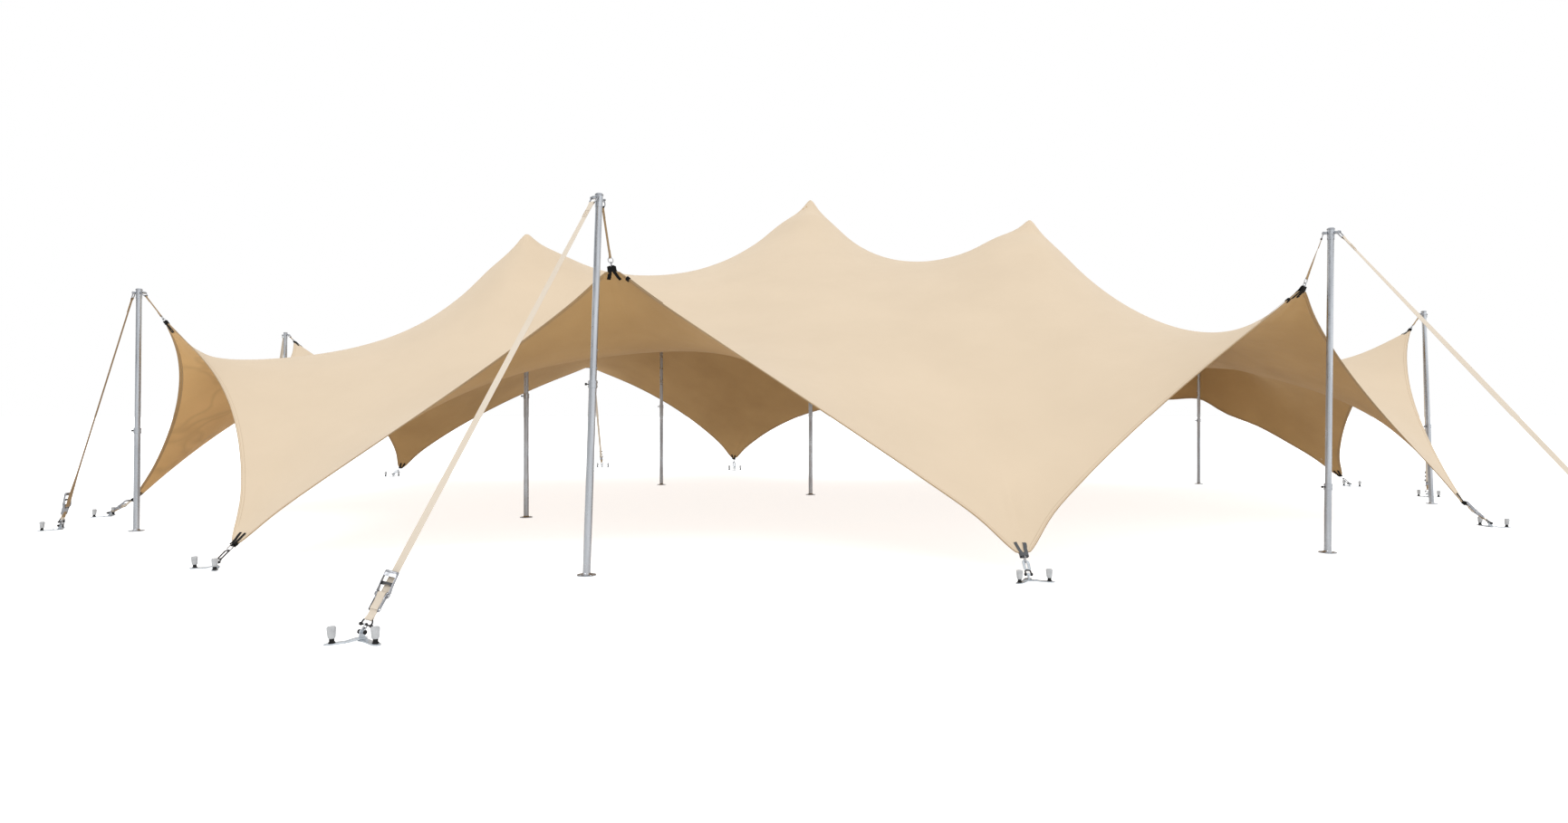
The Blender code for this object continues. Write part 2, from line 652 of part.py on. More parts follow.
def main():
    clear_scene()
    sheet = make_sheet()
    for name in INNER_POLES:
        make_inner_pole(name, sheet)
    for name in EDGE_POLES:
        make_edge_pole(name)
        make_hanger(name, sheet)
        make_guy(name)
        make_anchor("guy_anchor_" + name[5:], GUY_ANCHORS[name], Vector(EDGE_POLES[name][1]))
    for name in LOW_CORNERS:
        make_tie(name, sheet)
        make_anchor("sheet_anchor_" + name, SHEET_ANCHORS[name], Vector(LOW_CORNERS[name]))


main()
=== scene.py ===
import math

import bpy
import numpy as np
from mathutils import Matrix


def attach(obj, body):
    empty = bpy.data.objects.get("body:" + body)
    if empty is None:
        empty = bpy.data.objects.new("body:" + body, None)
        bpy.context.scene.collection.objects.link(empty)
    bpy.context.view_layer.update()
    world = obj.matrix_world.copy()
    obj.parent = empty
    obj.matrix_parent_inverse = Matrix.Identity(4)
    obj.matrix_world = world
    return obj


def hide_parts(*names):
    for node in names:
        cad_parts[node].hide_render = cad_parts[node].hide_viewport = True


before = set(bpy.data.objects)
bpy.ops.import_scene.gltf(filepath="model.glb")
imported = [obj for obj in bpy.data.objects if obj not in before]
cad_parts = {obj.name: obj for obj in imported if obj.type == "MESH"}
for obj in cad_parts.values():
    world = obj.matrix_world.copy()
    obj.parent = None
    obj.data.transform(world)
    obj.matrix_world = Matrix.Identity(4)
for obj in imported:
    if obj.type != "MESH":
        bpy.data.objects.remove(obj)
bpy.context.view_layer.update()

# %% [markdown]
# ## Driving sizes
# These are the tent's own sizes, the same as in the CAD source: where the corners are held, where the inner
# poles push the sheet up, and how hard each stretch of hem pulls. Everything else is worked out from them.
# %% Corners, poles and pulls
LOW_CORNERS = {
    "front_left": (-4.86, -5.15, 0.18),
    "front": (1.72, -5.84, 0.22),
    "right": (7.42, -2.81, 0.31),
    "back_right": (9.19, 2.30, 0.23),
    "back_middle": (3.29, 7.49, 0.28),
    "back": (-1.23, 6.49, 0.30),
    "back_left": (-7.49, 4.43, 0.23),
    "left": (-8.02, -1.95, 0.24),
}
HIGH_CORNERS = {
    "pole_left": (-6.72, -3.31, 2.23),
    "pole_front_left": (-1.56, -5.52, 2.45),
    "pole_front_right": (4.63, -4.60, 2.41),
    "pole_right": (8.48, -0.45, 2.41),
    "pole_back": (-4.27, 6.15, 2.22),
    "pole_back_left": (-8.34, 2.25, 2.44),
}
CORNERS = {**LOW_CORNERS, **HIGH_CORNERS}
FRONT_SIDE = ("pole_left", "front_left", "pole_front_left", "front", "pole_front_right", "right")
RIGHT_SIDE = ("right", "pole_right", "back_right")
BACK_SIDE = ("back_left", "pole_back", "back", "back_middle", "back_right")
LEFT_SIDE = ("pole_left", "left", "pole_back_left", "back_left")
# Inner poles: foot x and y, height of the sheet over it, and the knot (i, j) of the net that it lifts
INNER_POLES = {
    "inner_pole_left": (-3.28, -1.95, 3.44, 11, 8),
    "inner_pole_middle": (0.26, 1.04, 4.55, 20, 13),
    "inner_pole_right": (3.11, -0.95, 3.82, 27, 8),
    "inner_pole_back_left": (-2.30, 2.94, 3.20, 13, 17),
    "inner_pole_back_right": (7.22, 3.15, 2.61, 36, 22),
}
# The net: cells each way, pull of a link each way, bending stiffness, and the pull of each stretch of hem
NET_LONG = 40
NET_WIDE = 24
NET_PULL_LONG = 0.422
NET_PULL_WIDE = 1.0
NET_BENDING = 10.9
FRONT_HEM_PULLS = (4.77, 20.8, 72.2, 25.3, 6.52)
RIGHT_HEM_PULLS = (11.9, 16)
BACK_HEM_PULLS = (10.4, 13.8, 1.51, 4.42)
LEFT_HEM_PULLS = (2.96, 3.91, 3.75)
# Places where the sheet stands above or below the plain net: knot (i, j) and push; it spreads over some knots
NET_PUSHES = (
    (4, 3, 0.070), (8, 6, -0.015), (15, 3, -0.101), (15, 11, 0.028), (24, 10, 0.017), (36, 7, -0.022),
    (12, 20, 0.021),
)
PUSH_SPREAD = 3.0
print("corners:", len(CORNERS), "inner poles:", len(INNER_POLES), "net cells:", NET_LONG, "by", NET_WIDE)

# %% [markdown]
# ## The sheet's net
# A stretched sheet takes the shape of a pulled net: each knot rests where its neighbours' pulls balance.
# A cloth simulation could find it too, but the balance is a set of linear equations, which numpy solves at
# once and always the same way. A little bending stiffness keeps the slopes as smooth as thick fabric is.
# %% Knots of the corners
def marks_along(side, count):
    """Knot number of each corner along one side: the corners share the side evenly."""
    return {name: round(i * count / (len(side) - 1)) for i, name in enumerate(side)}


def corner_knots():
    """Knot (i, j) of every corner: front and back sides run along i, left and right sides along j."""
    places = {name: (i, 0) for name, i in marks_along(FRONT_SIDE, NET_LONG).items()}
    places.update({name: (i, NET_WIDE) for name, i in marks_along(BACK_SIDE, NET_LONG).items()})
    places.update({name: (0, j) for name, j in marks_along(LEFT_SIDE, NET_WIDE).items()})
    places.update({name: (NET_LONG, j) for name, j in marks_along(RIGHT_SIDE, NET_WIDE).items()})
    return places


print("knots of the corners:", corner_knots())


# %% Solve the net
def solve_net():
    """Knots of the net in balance: (pulls + bending) times place = push, with corners and pole tops held.

    A link of pull w adds w to the diagonal of both its knots and -w between them. Bending adds the square of
    each inner knot's distance from the mean of its four neighbours.
    """
    knots = np.arange((NET_LONG + 1) * (NET_WIDE + 1)).reshape(NET_LONG + 1, NET_WIDE + 1)
    pull_long = np.full((NET_LONG, NET_WIDE + 1), NET_PULL_LONG)
    pull_long[:, 0] = np.repeat(FRONT_HEM_PULLS, NET_LONG // len(FRONT_HEM_PULLS))
    pull_long[:, -1] = np.repeat(BACK_HEM_PULLS, NET_LONG // len(BACK_HEM_PULLS))
    pull_wide = np.full((NET_LONG + 1, NET_WIDE), NET_PULL_WIDE)
    pull_wide[0] = np.repeat(LEFT_HEM_PULLS, NET_WIDE // len(LEFT_HEM_PULLS))
    pull_wide[-1] = np.repeat(RIGHT_HEM_PULLS, NET_WIDE // len(RIGHT_HEM_PULLS))
    balance = np.zeros((knots.size, knots.size))
    for starts, ends, pulls in ((knots[:-1], knots[1:], pull_long), (knots[:, :-1], knots[:, 1:], pull_wide)):
        a, b, w = starts.ravel(), ends.ravel(), pulls.ravel()
        for row, column, value in ((a, b, -w), (b, a, -w), (a, a, w), (b, b, w)):
            np.add.at(balance, (row, column), value)
    inner = knots[1:-1, 1:-1].ravel()
    bulge = np.zeros((knots.size, knots.size))
    bulge[inner, inner] = -1.0
    for beside in (knots[:-2, 1:-1], knots[2:, 1:-1], knots[1:-1, :-2], knots[1:-1, 2:]):
        bulge[inner, beside.ravel()] = 0.25
    balance += NET_BENDING * (bulge.T @ bulge)
    along, across = np.meshgrid(np.arange(NET_LONG + 1), np.arange(NET_WIDE + 1), indexing="ij")
    load = np.zeros((knots.size, 3))
    for i, j, push in NET_PUSHES:
        load[:, 2] += push * np.exp(-((along - i) ** 2 + (across - j) ** 2) / (2 * PUSH_SPREAD**2)).ravel()
    held = {place: CORNERS[name] for name, place in corner_knots().items()}
    held.update({(i, j): (x, y, top) for x, y, top, i, j in INNER_POLES.values()})
    fixed = np.array([knots[place] for place in held])
    free = np.setdiff1d(knots.ravel(), fixed)
    points = np.zeros((knots.size, 3))
    points[fixed] = list(held.values())
    rest = load[free] - balance[np.ix_(free, fixed)] @ points[fixed]
    points[free] = np.linalg.solve(balance[np.ix_(free, free)], rest)
    return points.reshape(NET_LONG + 1, NET_WIDE + 1, 3)


net = solve_net()
print("net:", net.shape, "highest knot", round(float(net[..., 2].max()), 2), "m")

# %% [markdown]
# ## From knots to a smooth surface
# The knots lie half a metre apart, so the surface between them is a spline. A pole's top is no place for a
# plain spline: there real fabric runs up like a logarithm and ends in a small round cap over the pole's
# head. So that part is taken off the knots, the rest is splined, and it is put back at full sharpness.
# %% Lines of the fine grid
CLOSE_STEPS = 8
PLAIN_STEPS = 4
CROWDING = 1.5


def fine_lines(count, busy):
    """Net coordinates of the fine grid's lines: even steps, but crowded towards each busy knot."""
    even = np.arange(PLAIN_STEPS) / PLAIN_STEPS
    close = (np.arange(CLOSE_STEPS) / CLOSE_STEPS) ** CROWDING
    away = 1 - (1 - np.arange(CLOSE_STEPS) / CLOSE_STEPS) ** CROWDING
    half = np.arange(CLOSE_STEPS) / CLOSE_STEPS
    both = half**2 * (3 - 2 * half)
    lines = []
    for cell in range(count):
        shares = {(0, 0): even, (1, 0): close, (0, 1): away, (1, 1): both}[cell in busy, cell + 1 in busy]
        lines.append(cell + shares)
    return np.concatenate([*lines, [count]])


busy_long = {i for i, j in corner_knots().values()} | {pole[3] for pole in INNER_POLES.values()}
busy_wide = {j for i, j in corner_knots().values()} | {pole[4] for pole in INNER_POLES.values()}
LONG_LINES = fine_lines(NET_LONG, busy_long)
WIDE_LINES = fine_lines(NET_WIDE, busy_wide)
print("fine grid:", len(LONG_LINES), "by", len(WIDE_LINES), "lines")


# %% Spline between the knots
def spline(points, kinks, lines):
    """Cubic curve through the knots of axis 0, read at the given lines.

    Slope at a knot: half the step between its neighbours. Where kinks is 1 each side keeps its own slope,
    one and a half times its own step less half of the next knot's slope, so the curve may turn a corner.
    """
    kinks = kinks[..., None]
    steps = np.diff(points, axis=0)
    middle = np.concatenate([steps[:1], (steps[1:] + steps[:-1]) / 2, steps[-1:]])
    after = middle[:-1] * (1 - kinks[:-1]) + (1.5 * steps - 0.5 * middle[1:]) * kinks[:-1]
    before = middle[1:] * (1 - kinks[1:]) + (1.5 * steps - 0.5 * middle[:-1]) * kinks[1:]
    cell = np.minimum(lines.astype(int), len(steps) - 1)
    t = (lines - cell).reshape(-1, *([1] * (points.ndim - 1)))
    start, end = points[cell], points[cell + 1]
    return (
        start * (2 * t**3 - 3 * t**2 + 1)
        + after[cell] * (t**3 - 2 * t**2 + t)
        + end * (3 * t**2 - 2 * t**3)
        + before[cell] * (t**3 - t**2)
    )


trial = spline(np.array([[0.0], [1.0], [4.0]]), np.zeros(3), np.array([1.5]))
print("spline through 0, 1 and 4, read halfway between the last two:", trial[0, 0])

# %% Peaks off, spline, peaks on
PEAK_REACH = 1.5
PEAK_CAP = 0.075


def peak_drop(distance):
    """Drop below the peak's top: half of (log q + 1 - q), q the squared distance over the squared reach."""
    q = np.minimum((distance**2 + PEAK_CAP**2) / (PEAK_REACH**2 + PEAK_CAP**2), 1)
    return (np.log(q) + 1 - q) / 2


def far_from(points, x, y):
    """Level distance of points from an upright line: root of the squared steps along x and y."""
    return np.hypot(points[..., 0] - x, points[..., 1] - y)


def fine_sheet(knots):
    """The whole middle surface: peaks off, spline along, spline across, peaks on again.

    A peak's strength: fall of the knots to its ring of neighbours, over the fall of the plain drop there.
    """
    smooth = knots.copy()
    peaks = []
    for x, y, _, i, j in INNER_POLES.values():
        drop = peak_drop(far_from(knots, x, y))
        ring = [(i - 1, j), (i + 1, j), (i, j - 1), (i, j + 1)]
        ring = [place for place in ring if place[0] <= NET_LONG and place[1] <= NET_WIDE]
        fall = knots[i, j, 2] - np.mean([knots[place][2] for place in ring])
        strength = fall / (np.mean([drop[place] for place in ring]) - drop[i, j])
        peaks.append((x, y, strength))
        smooth[..., 2] += strength * drop
    front_and_back = np.zeros(knots.shape[:2])
    sides = np.zeros((NET_WIDE + 1, 2))
    for i, j in corner_knots().values():
        if j in (0, NET_WIDE):
            front_and_back[i, j] = 1
        if i in (0, NET_LONG):
            sides[j, int(i > 0)] = 1
    long_way = spline(smooth, front_and_back, LONG_LINES)
    near_left = np.clip(1 - LONG_LINES, 0, 1)
    near_right = np.clip(LONG_LINES - NET_LONG + 1, 0, 1)
    kinks = sides[:, :1] * near_left + sides[:, 1:] * near_right
    fine = spline(long_way.transpose(1, 0, 2), kinks, WIDE_LINES).transpose(1, 0, 2)
    for x, y, strength in peaks:
        fine[..., 2] -= strength * peak_drop(far_from(fine, x, y))
        print("peak at", (x, y), "strength", round(float(strength), 3))
    return fine


surface = fine_sheet(net)

# %% [markdown]
# ## Blunt corners
# No real corner ends in a point: the fabric is cut off about a hand's width before it, so that webbing can
# be sewn along a short straight edge. The net's corner is therefore widened across, drawn back a little at
# the poles and pulled out a little near the ground. The shift fades out over a third of a metre.
# %% Widen the corners
CORNER_HALF_WIDTH = 0.045
CORNER_FADE = 0.30
POLE_CORNER_RETREAT = 0.01
LOW_CORNER_ADVANCE = 0.02
LOW_CORNER_ADVANCES = {"front": 0.05, "right": 0.04, "front_left": 0.03}


def unit(vectors):
    """Vectors of length one: each over the root of its squared sum."""
    return vectors / np.linalg.norm(vectors, axis=-1, keepdims=True)


def fan(i, j):
    """Share across a corner, from -1 on one hem to 1 on the other, by the angle seen from the corner."""
    along = (LONG_LINES - i)[:, None]
    across = (WIDE_LINES - j)[None, :]
    size = along**2 + across**2 + 1e-4
    if i in (0, NET_LONG) and j in (0, NET_WIDE):
        return (along**2 - across**2) / size
    return (along if j in (0, NET_WIDE) else across) / np.sqrt(size)


def hem_neighbours(i, j):
    """Knots next to a corner along the hem: the one where the fan is 1 and the one where it is -1."""
    if i in (0, NET_LONG) and j in (0, NET_WIDE):
        return net[abs(i - 1), j], net[i, abs(j - 1)]
    return (net[i + 1, j], net[i - 1, j]) if j in (0, NET_WIDE) else (net[i, j + 1], net[i, j - 1])


corner_axes = {}
for name, (i, j) in corner_knots().items():
    place = np.array(CORNERS[name])
    one, other = hem_neighbours(i, j)
    outward = unit(unit(place - one) + unit(place - other))
    across = one - other
    across = unit(across - outward * (across @ outward))
    fade = np.exp(-((np.linalg.norm(surface - place, axis=2) / CORNER_FADE) ** 2))
    advance = LOW_CORNER_ADVANCES.get(name, LOW_CORNER_ADVANCE)
    retreat = POLE_CORNER_RETREAT if name in HIGH_CORNERS else -advance
    surface = surface + fade[..., None] * (
        across * (fan(i, j) * CORNER_HALF_WIDTH)[..., None] - outward * retreat
    )
    corner_axes[name] = (place - outward * retreat, outward, across)
print("corners blunted:", len(corner_axes))

# %% [markdown]
# ## Tension creases
# Where the pull gathers in a corner, stretched fabric ripples: fine ridges fan out from the webbing and die
# away within a metre. They are a few millimetres high, so they are moved points, not only shading.
# %% Ripple the corners
CREASE_HEIGHT = 0.004
CREASE_REACH = 0.45
CREASE_END = 2.2
CREASES = 7
CREASE_SHIFT = 1.7


def surface_normals(points):
    """Unit normals: slope along the grid cross slope across it."""
    along = np.gradient(points, LONG_LINES, axis=0)
    across = np.gradient(points, WIDE_LINES, axis=1)
    return unit(np.cross(along, across))


def crease_heights():
    """Sum over the corners of cosine ridges in the fan's angle, highest one reach away from the corner.

    Away from it they die out exponentially, twice as fast beyond the crease's end.
    """
    height = np.zeros(surface.shape[:2])
    for number, (name, (i, j)) in enumerate(corner_knots().items()):
        angle = np.arccos(np.clip(fan(i, j), -1, 1))
        away = np.linalg.norm(surface - corner_axes[name][0], axis=2) / CREASE_REACH
        swell = np.exp(1 - away) * away * np.minimum(1, np.exp(CREASE_END - away))
        height += CREASE_HEIGHT * swell * np.cos(CREASES * angle + CREASE_SHIFT * number) * np.sin(angle)
    return height


creases = crease_heights()
surface = surface + surface_normals(surface) * creases[..., None]
normals = surface_normals(surface)
print("highest crease:", round(float(creases.max()) * 1000, 1), "mm")

# %% [markdown]
# ## Mesh helpers
# Each small piece is a surface too: a closed profile carried along a path. Points come as one array, rows
# along the path and columns round the profile, so the faces follow from the numbering alone.
# %% Faces and pieces
SHARP_ANGLE = math.radians(38)


def grid_quads(rows, columns, wrap_rows, wrap_columns):
    """Corner numbers of the quads between neighbouring grid points, outward where columns turn left."""
    index = np.arange(rows * columns).reshape(rows, columns)
    if wrap_rows:
        index = np.vstack([index, index[:1]])
    if wrap_columns:
        index = np.hstack([index, index[:, :1]])
    corners = [index[:-1, :-1], index[:-1, 1:], index[1:, 1:], index[1:, :-1]]
    return np.stack(corners, axis=-1).reshape(-1, 4)


def make_piece(name, shapes, finishes, replaced=(), body="tent"):
    """One named mesh from closed shapes, riding on a body.

    A shape's finish is one, or a list with one for each column. A shape that isn't a loop gets a flat end
    face at its first and last row, of the first finish.
    """
    points, faces, marks, places = [], [], [], []
    count = 0
    for shape in shapes:
        grid = shape["points"]
        rows, columns = grid.shape[:2]
        quads = grid_quads(rows, columns, shape["loop"], True) + count
        faces += quads.tolist()
        if not shape["loop"]:
            first = np.arange(columns)[::-1] + count
            last = np.arange(columns) + count + (rows - 1) * columns
            faces += [first.tolist(), last.tolist()]
        bands = shape["finish"] if isinstance(shape["finish"], list) else [shape["finish"]] * columns
        marks += [finishes.index(band) for band in bands] * (len(quads) // columns)
        marks += [finishes.index(bands[0])] * (len(faces) - len(marks))
        points.append(grid.reshape(-1, 3))
        places.append(shape["uv"].reshape(-1, 2))
        count += rows * columns
    mesh = bpy.data.meshes.new(name)
    mesh.from_pydata(np.concatenate(points).tolist(), [], faces)
    for finish in finishes:
        mesh.materials.append(finish)
    mesh.polygons.foreach_set("material_index", marks)
    return finished(name, mesh, np.concatenate(places), replaced, body)


def finished(name, mesh, places, replaced, body):
    """Object of a mesh: flat coordinates per point, smooth faces with sharp edges, and a body."""
    corners = np.empty(len(mesh.loops), dtype=int)
    mesh.loops.foreach_get("vertex_index", corners)
    mesh.uv_layers.new(name="Flat").data.foreach_set("uv", places[corners].ravel())
    mesh.shade_smooth()
    mesh.set_sharp_from_angle(angle=SHARP_ANGLE)
    mesh.validate()
    piece = bpy.data.objects.new(name, mesh)
    bpy.context.scene.collection.objects.link(piece)
    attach(piece, body)
    if replaced:
        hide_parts(*replaced)
    return piece


print("quads of a grid of 3 by 4 points:", len(grid_quads(3, 4, False, False)))


# %% [markdown]
# ## Profiles and paths
# Straps, wires, links, tubes and bolts are all the same thing: a section carried along a line. So a few
# helpers give the sections, a few give the lines, and one carries the first along the second. A modifier
# could do it too, but plain arrays show where every point comes from.
# %% Profiles carried along paths
def carried(path, profile, side, finish, loop=False, scale=None):
    """Profile (x, y) carried along a path: point = path + x * side + y * (path direction cross side).

    Side is turned square to the path at every step. Scale, one pair for each step, widens x and y.
    """
    path = np.asarray(path, dtype=float)
    ahead = np.roll(path, -1, axis=0) - np.roll(path, 1, axis=0) if loop else np.gradient(path, axis=0)
    ahead = unit(ahead)
    side = np.broadcast_to(np.asarray(side, dtype=float), path.shape)
    side = unit(side - ahead * (side * ahead).sum(axis=1, keepdims=True))
    out = np.cross(ahead, side)
    profile = np.asarray(profile, dtype=float)[None]
    if scale is not None:
        profile = profile * np.asarray(scale, dtype=float)[:, None]
    profile = np.broadcast_to(profile, (len(path), *profile.shape[1:]))
    points = path[:, None] + profile[..., :1] * side[:, None] + profile[..., 1:] * out[:, None]
    run = np.concatenate([[0], np.cumsum(np.linalg.norm(np.diff(path, axis=0), axis=1))])
    uv = np.stack([profile[..., 0], np.broadcast_to(run[:, None], profile.shape[:2])], axis=-1)
    return {"points": points, "uv": uv, "loop": loop, "finish": finish}


def round_profile(radius, sides):
    """Circle of points, turning left."""
    turn = 2 * np.pi * np.arange(sides) / sides
    return radius * np.stack([np.cos(turn), np.sin(turn)], axis=1)


def strap_profile(width, thickness):
    """Flat band with round edges: a circle of the thickness pulled apart to the width."""
    ring = np.roll(round_profile(thickness / 2, 8), 2, axis=0)
    shift = np.where(ring[:, 0] > 1e-9, 1, -1) * (width - thickness) / 2
    return ring + np.stack([shift, np.zeros(8)], axis=1)


def tell(label, shapes):
    """Print how many closed shapes and points there are."""
    print(label, len(shapes), "shapes,", sum(shape["points"].size // 3 for shape in shapes), "points")


strap = carried([(0, 0, 0), (0, 0, 1)], strap_profile(0.05, 0.003), (1, 0, 0), None)
tell("a metre of 50 mm strap:", [strap])


# %% Turned parts, rounded paths and ovals
def turned(base, axis, stations, finish, sides=20, profile=None):
    """Turned part: a round profile carried along an axis, its radius given at each distance.

    Point = base + distance * axis + radius * (cosine * side + sine * axis cross side).
    """
    axis = unit(np.asarray(axis, dtype=float))
    distances = np.array([d for d, _ in stations])
    radii = np.array([r for _, r in stations])
    helper = np.array([0, 0, 1.0]) if abs(axis[2]) < 0.9 else np.array([1.0, 0, 0])
    side = unit(np.cross(axis, helper))
    path = np.asarray(base, dtype=float) + distances[:, None] * axis
    profile = (round_profile(1, sides) if profile is None else profile)[None] * radii[:, None, None]
    points = path[:, None] + profile[..., :1] * side + profile[..., 1:] * np.cross(axis, side)
    turn = np.linspace(0, 2 * np.pi, profile.shape[1])
    uv = np.stack([radii[:, None] * turn, np.broadcast_to(distances[:, None], profile.shape[:2])], axis=-1)
    return {"points": points, "uv": uv, "loop": False, "finish": finish}


def softened(corners, reach, steps=6):
    """Path through corners, each rounded: a quadratic blend between points cut back by the reach."""
    corners = np.asarray(corners, dtype=float)
    t = np.linspace(0, 1, steps)[:, None]
    pieces = [corners[:1]]
    for before, corner, after in zip(corners[:-2], corners[1:-1], corners[2:]):
        cut = min(reach, np.linalg.norm(before - corner) * 0.49, np.linalg.norm(after - corner) * 0.49)
        start, end = corner + unit(before - corner) * cut, corner + unit(after - corner) * cut
        pieces.append(start * (1 - t) ** 2 + corner * 2 * t * (1 - t) + end * t**2)
    return np.concatenate([*pieces, corners[-1:]])


def oval(centre, along, across, half_length, half_width, steps=28):
    """Closed path: a circle of the half width, its two halves pulled apart to the half length."""
    turn = 2 * np.pi * (np.arange(steps) + 0.5) / steps
    forward = np.cos(turn) * half_width + np.sign(np.cos(turn)) * (half_length - half_width)
    sideways = np.sin(turn) * half_width
    return np.asarray(centre) + forward[:, None] * along + sideways[:, None] * across


tell("a bolt:", [turned((0, 0, 0), (0, 0, 1), [(0, 0.005), (0.06, 0.005)], None)])
print("points in a rounded right angle:", len(softened([(0, 0, 0), (1, 0, 0), (1, 1, 0)], 0.1)))


# %% Flat plates
def cut_plate(outline, thickness, origin, x_axis, y_axis, finish, bevel=0.0012):
    """Flat plate: its outline, inset on both faces by a small bevel.

    Inset: each point is moved by the bevel square to the line from the point before it to the point after it.
    """
    outline = np.asarray(outline, dtype=float)
    ahead = unit(np.roll(outline, -1, axis=0) - np.roll(outline, 1, axis=0))
    inset = outline - np.stack([ahead[:, 1], -ahead[:, 0]], axis=1) * bevel
    up = np.cross(x_axis, y_axis)
    half = thickness / 2
    layers = ((inset, -half), (outline, -half + bevel), (outline, half - bevel), (inset, half))
    points = np.stack([
        np.asarray(origin) + flat[:, :1] * x_axis + flat[:, 1:] * y_axis + up * rise for flat, rise in layers
    ])
    uv = np.stack([flat for flat, _ in layers])
    return {"points": points, "uv": uv, "loop": False, "finish": finish}


x_way, y_way = np.array([1.0, 0, 0]), np.array([0, 1.0, 0])
tell("a square plate:", [cut_plate([(0, 0), (1, 0), (1, 1), (0, 1)], 0.01, (0, 0, 0), x_way, y_way, None)])


# %% [markdown]
# ## Finishes
# All finishes are node materials on object or flat coordinates in metres, so their grain has a real size.
# An image could be wrapped round each piece instead, but nodes have no seams and stay sharp close up. Short
# helpers add the nodes and join them, so that each finish reads like a recipe.
# %% Node helpers
def new_finish(name, metallic, roughness):
    """A material with its Principled shader, metallic and roughness set on the shader's own sockets."""
    made = bpy.data.materials.new(name)
    made.use_nodes = True
    shader = made.node_tree.nodes["Principled BSDF"]
    shader.inputs["Metallic"].default_value = metallic
    shader.inputs["Roughness"].default_value = roughness
    return made, shader


def add_node(finish, kind, values=(), **settings):
    """A node of a kind, with settings as attributes and values put on its sockets."""
    made = finish.node_tree.nodes.new(kind)
    for key, value in settings.items():
        setattr(made, key, value)
    for socket, value in dict(values).items():
        made.inputs[socket].default_value = value
    return made


def join(finish, output, socket):
    """A link from an output to a socket."""
    finish.node_tree.links.new(output, socket)


def coordinates(finish, stretch=(1, 1, 1), flat=False):
    """Object coordinates, or the flat ones of a cloth piece, scaled by a Mapping node."""
    source = add_node(finish, "ShaderNodeTexCoord").outputs["UV" if flat else "Object"]
    mapping = add_node(finish, "ShaderNodeMapping", {"Scale": stretch})
    join(finish, source, mapping.inputs["Vector"])
    return mapping.outputs["Vector"]


def noise(finish, vector, scale, detail=3.0):
    """Soft random values about 0.5, the scale in patches per metre."""
    made = add_node(finish, "ShaderNodeTexNoise", {"Scale": scale, "Detail": detail})
    join(finish, vector, made.inputs["Vector"])
    return made.outputs["Fac"]


def between(finish, share, low, high, start=0.3, end=0.7):
    """Colour ramp from one colour to another over a part of the share."""
    ramp = add_node(finish, "ShaderNodeValToRGB")
    ramp.color_ramp.elements[0].position = start
    ramp.color_ramp.elements[1].position = end
    ramp.color_ramp.elements[0].color = (*low, 1)
    ramp.color_ramp.elements[1].color = (*high, 1)
    join(finish, share, ramp.inputs["Fac"])
    return ramp.outputs["Color"]


def mapped(finish, value, limits):
    """Value brought from one range to another: straight between the limits, flat outside them."""
    made = add_node(finish, "ShaderNodeMapRange", limits)
    join(finish, value, made.inputs["Value"])
    return made.outputs["Result"]


def spread(finish, share, low, high):
    """A number that goes from low to high as the share goes from 0.3 to 0.7."""
    limits = {"From Min": 0.3, "From Max": 0.7, "To Min": low, "To Max": high}
    return mapped(finish, share, limits)


def add_bump(finish, shader, height, distance, strength=1.0):
    """Shading as if the surface stood up by the height times the distance."""
    bump = add_node(finish, "ShaderNodeBump", {"Distance": distance, "Strength": strength})
    join(finish, height, bump.inputs["Height"])
    join(finish, bump.outputs["Normal"], shader.inputs["Normal"])


def waves(finish, vector, direction, scale):
    """Even ribs across one direction: a sine of 20 times the scale times the place along it."""
    made = add_node(finish, "ShaderNodeTexWave", {"Scale": scale}, bands_direction=direction)
    join(finish, vector, made.inputs["Vector"])
    return made.outputs["Fac"]


def joined(finish, kind, first, second, operation):
    """A maths node of a kind that works on two outputs."""
    made = add_node(finish, kind, operation=operation)
    join(finish, first, made.inputs[0])
    join(finish, second, made.inputs[1])
    return made


def combine(finish, first, second, operation="MULTIPLY"):
    """Two numbers multiplied, or combined by another operation."""
    return joined(finish, "ShaderNodeMath", first, second, operation).outputs["Value"]


print("finishes before the first recipe:", len(bpy.data.materials))

# %% [markdown]
# ### Fabric and webbing
# Woven cloth scatters light softly and hardly shines. Its weave is two crossed sets of ribs, used as a bump,
# and its colour drifts a little between two close shades. At the sheet's front left end more light comes
# through the cloth; that light is painted into the underside's colour, which is paler there, and painted
# shade marks faint fold lines across it. Moving the points for such lines would need a far finer mesh, so
# they are only a part of the colour.
# %% Painted light and fold shade at the end of the underside
END_LIGHT_WAY = (1.0, 0.5, 0.0)
END_LIGHT_START = -6.4
END_LIGHT_STOP = -7.8
FOLD_SCALE = 1.6
FOLD_WIDTH = 0.10
FOLD_SHADE = 0.88
FOLD_BEND_SCALE = 1.4


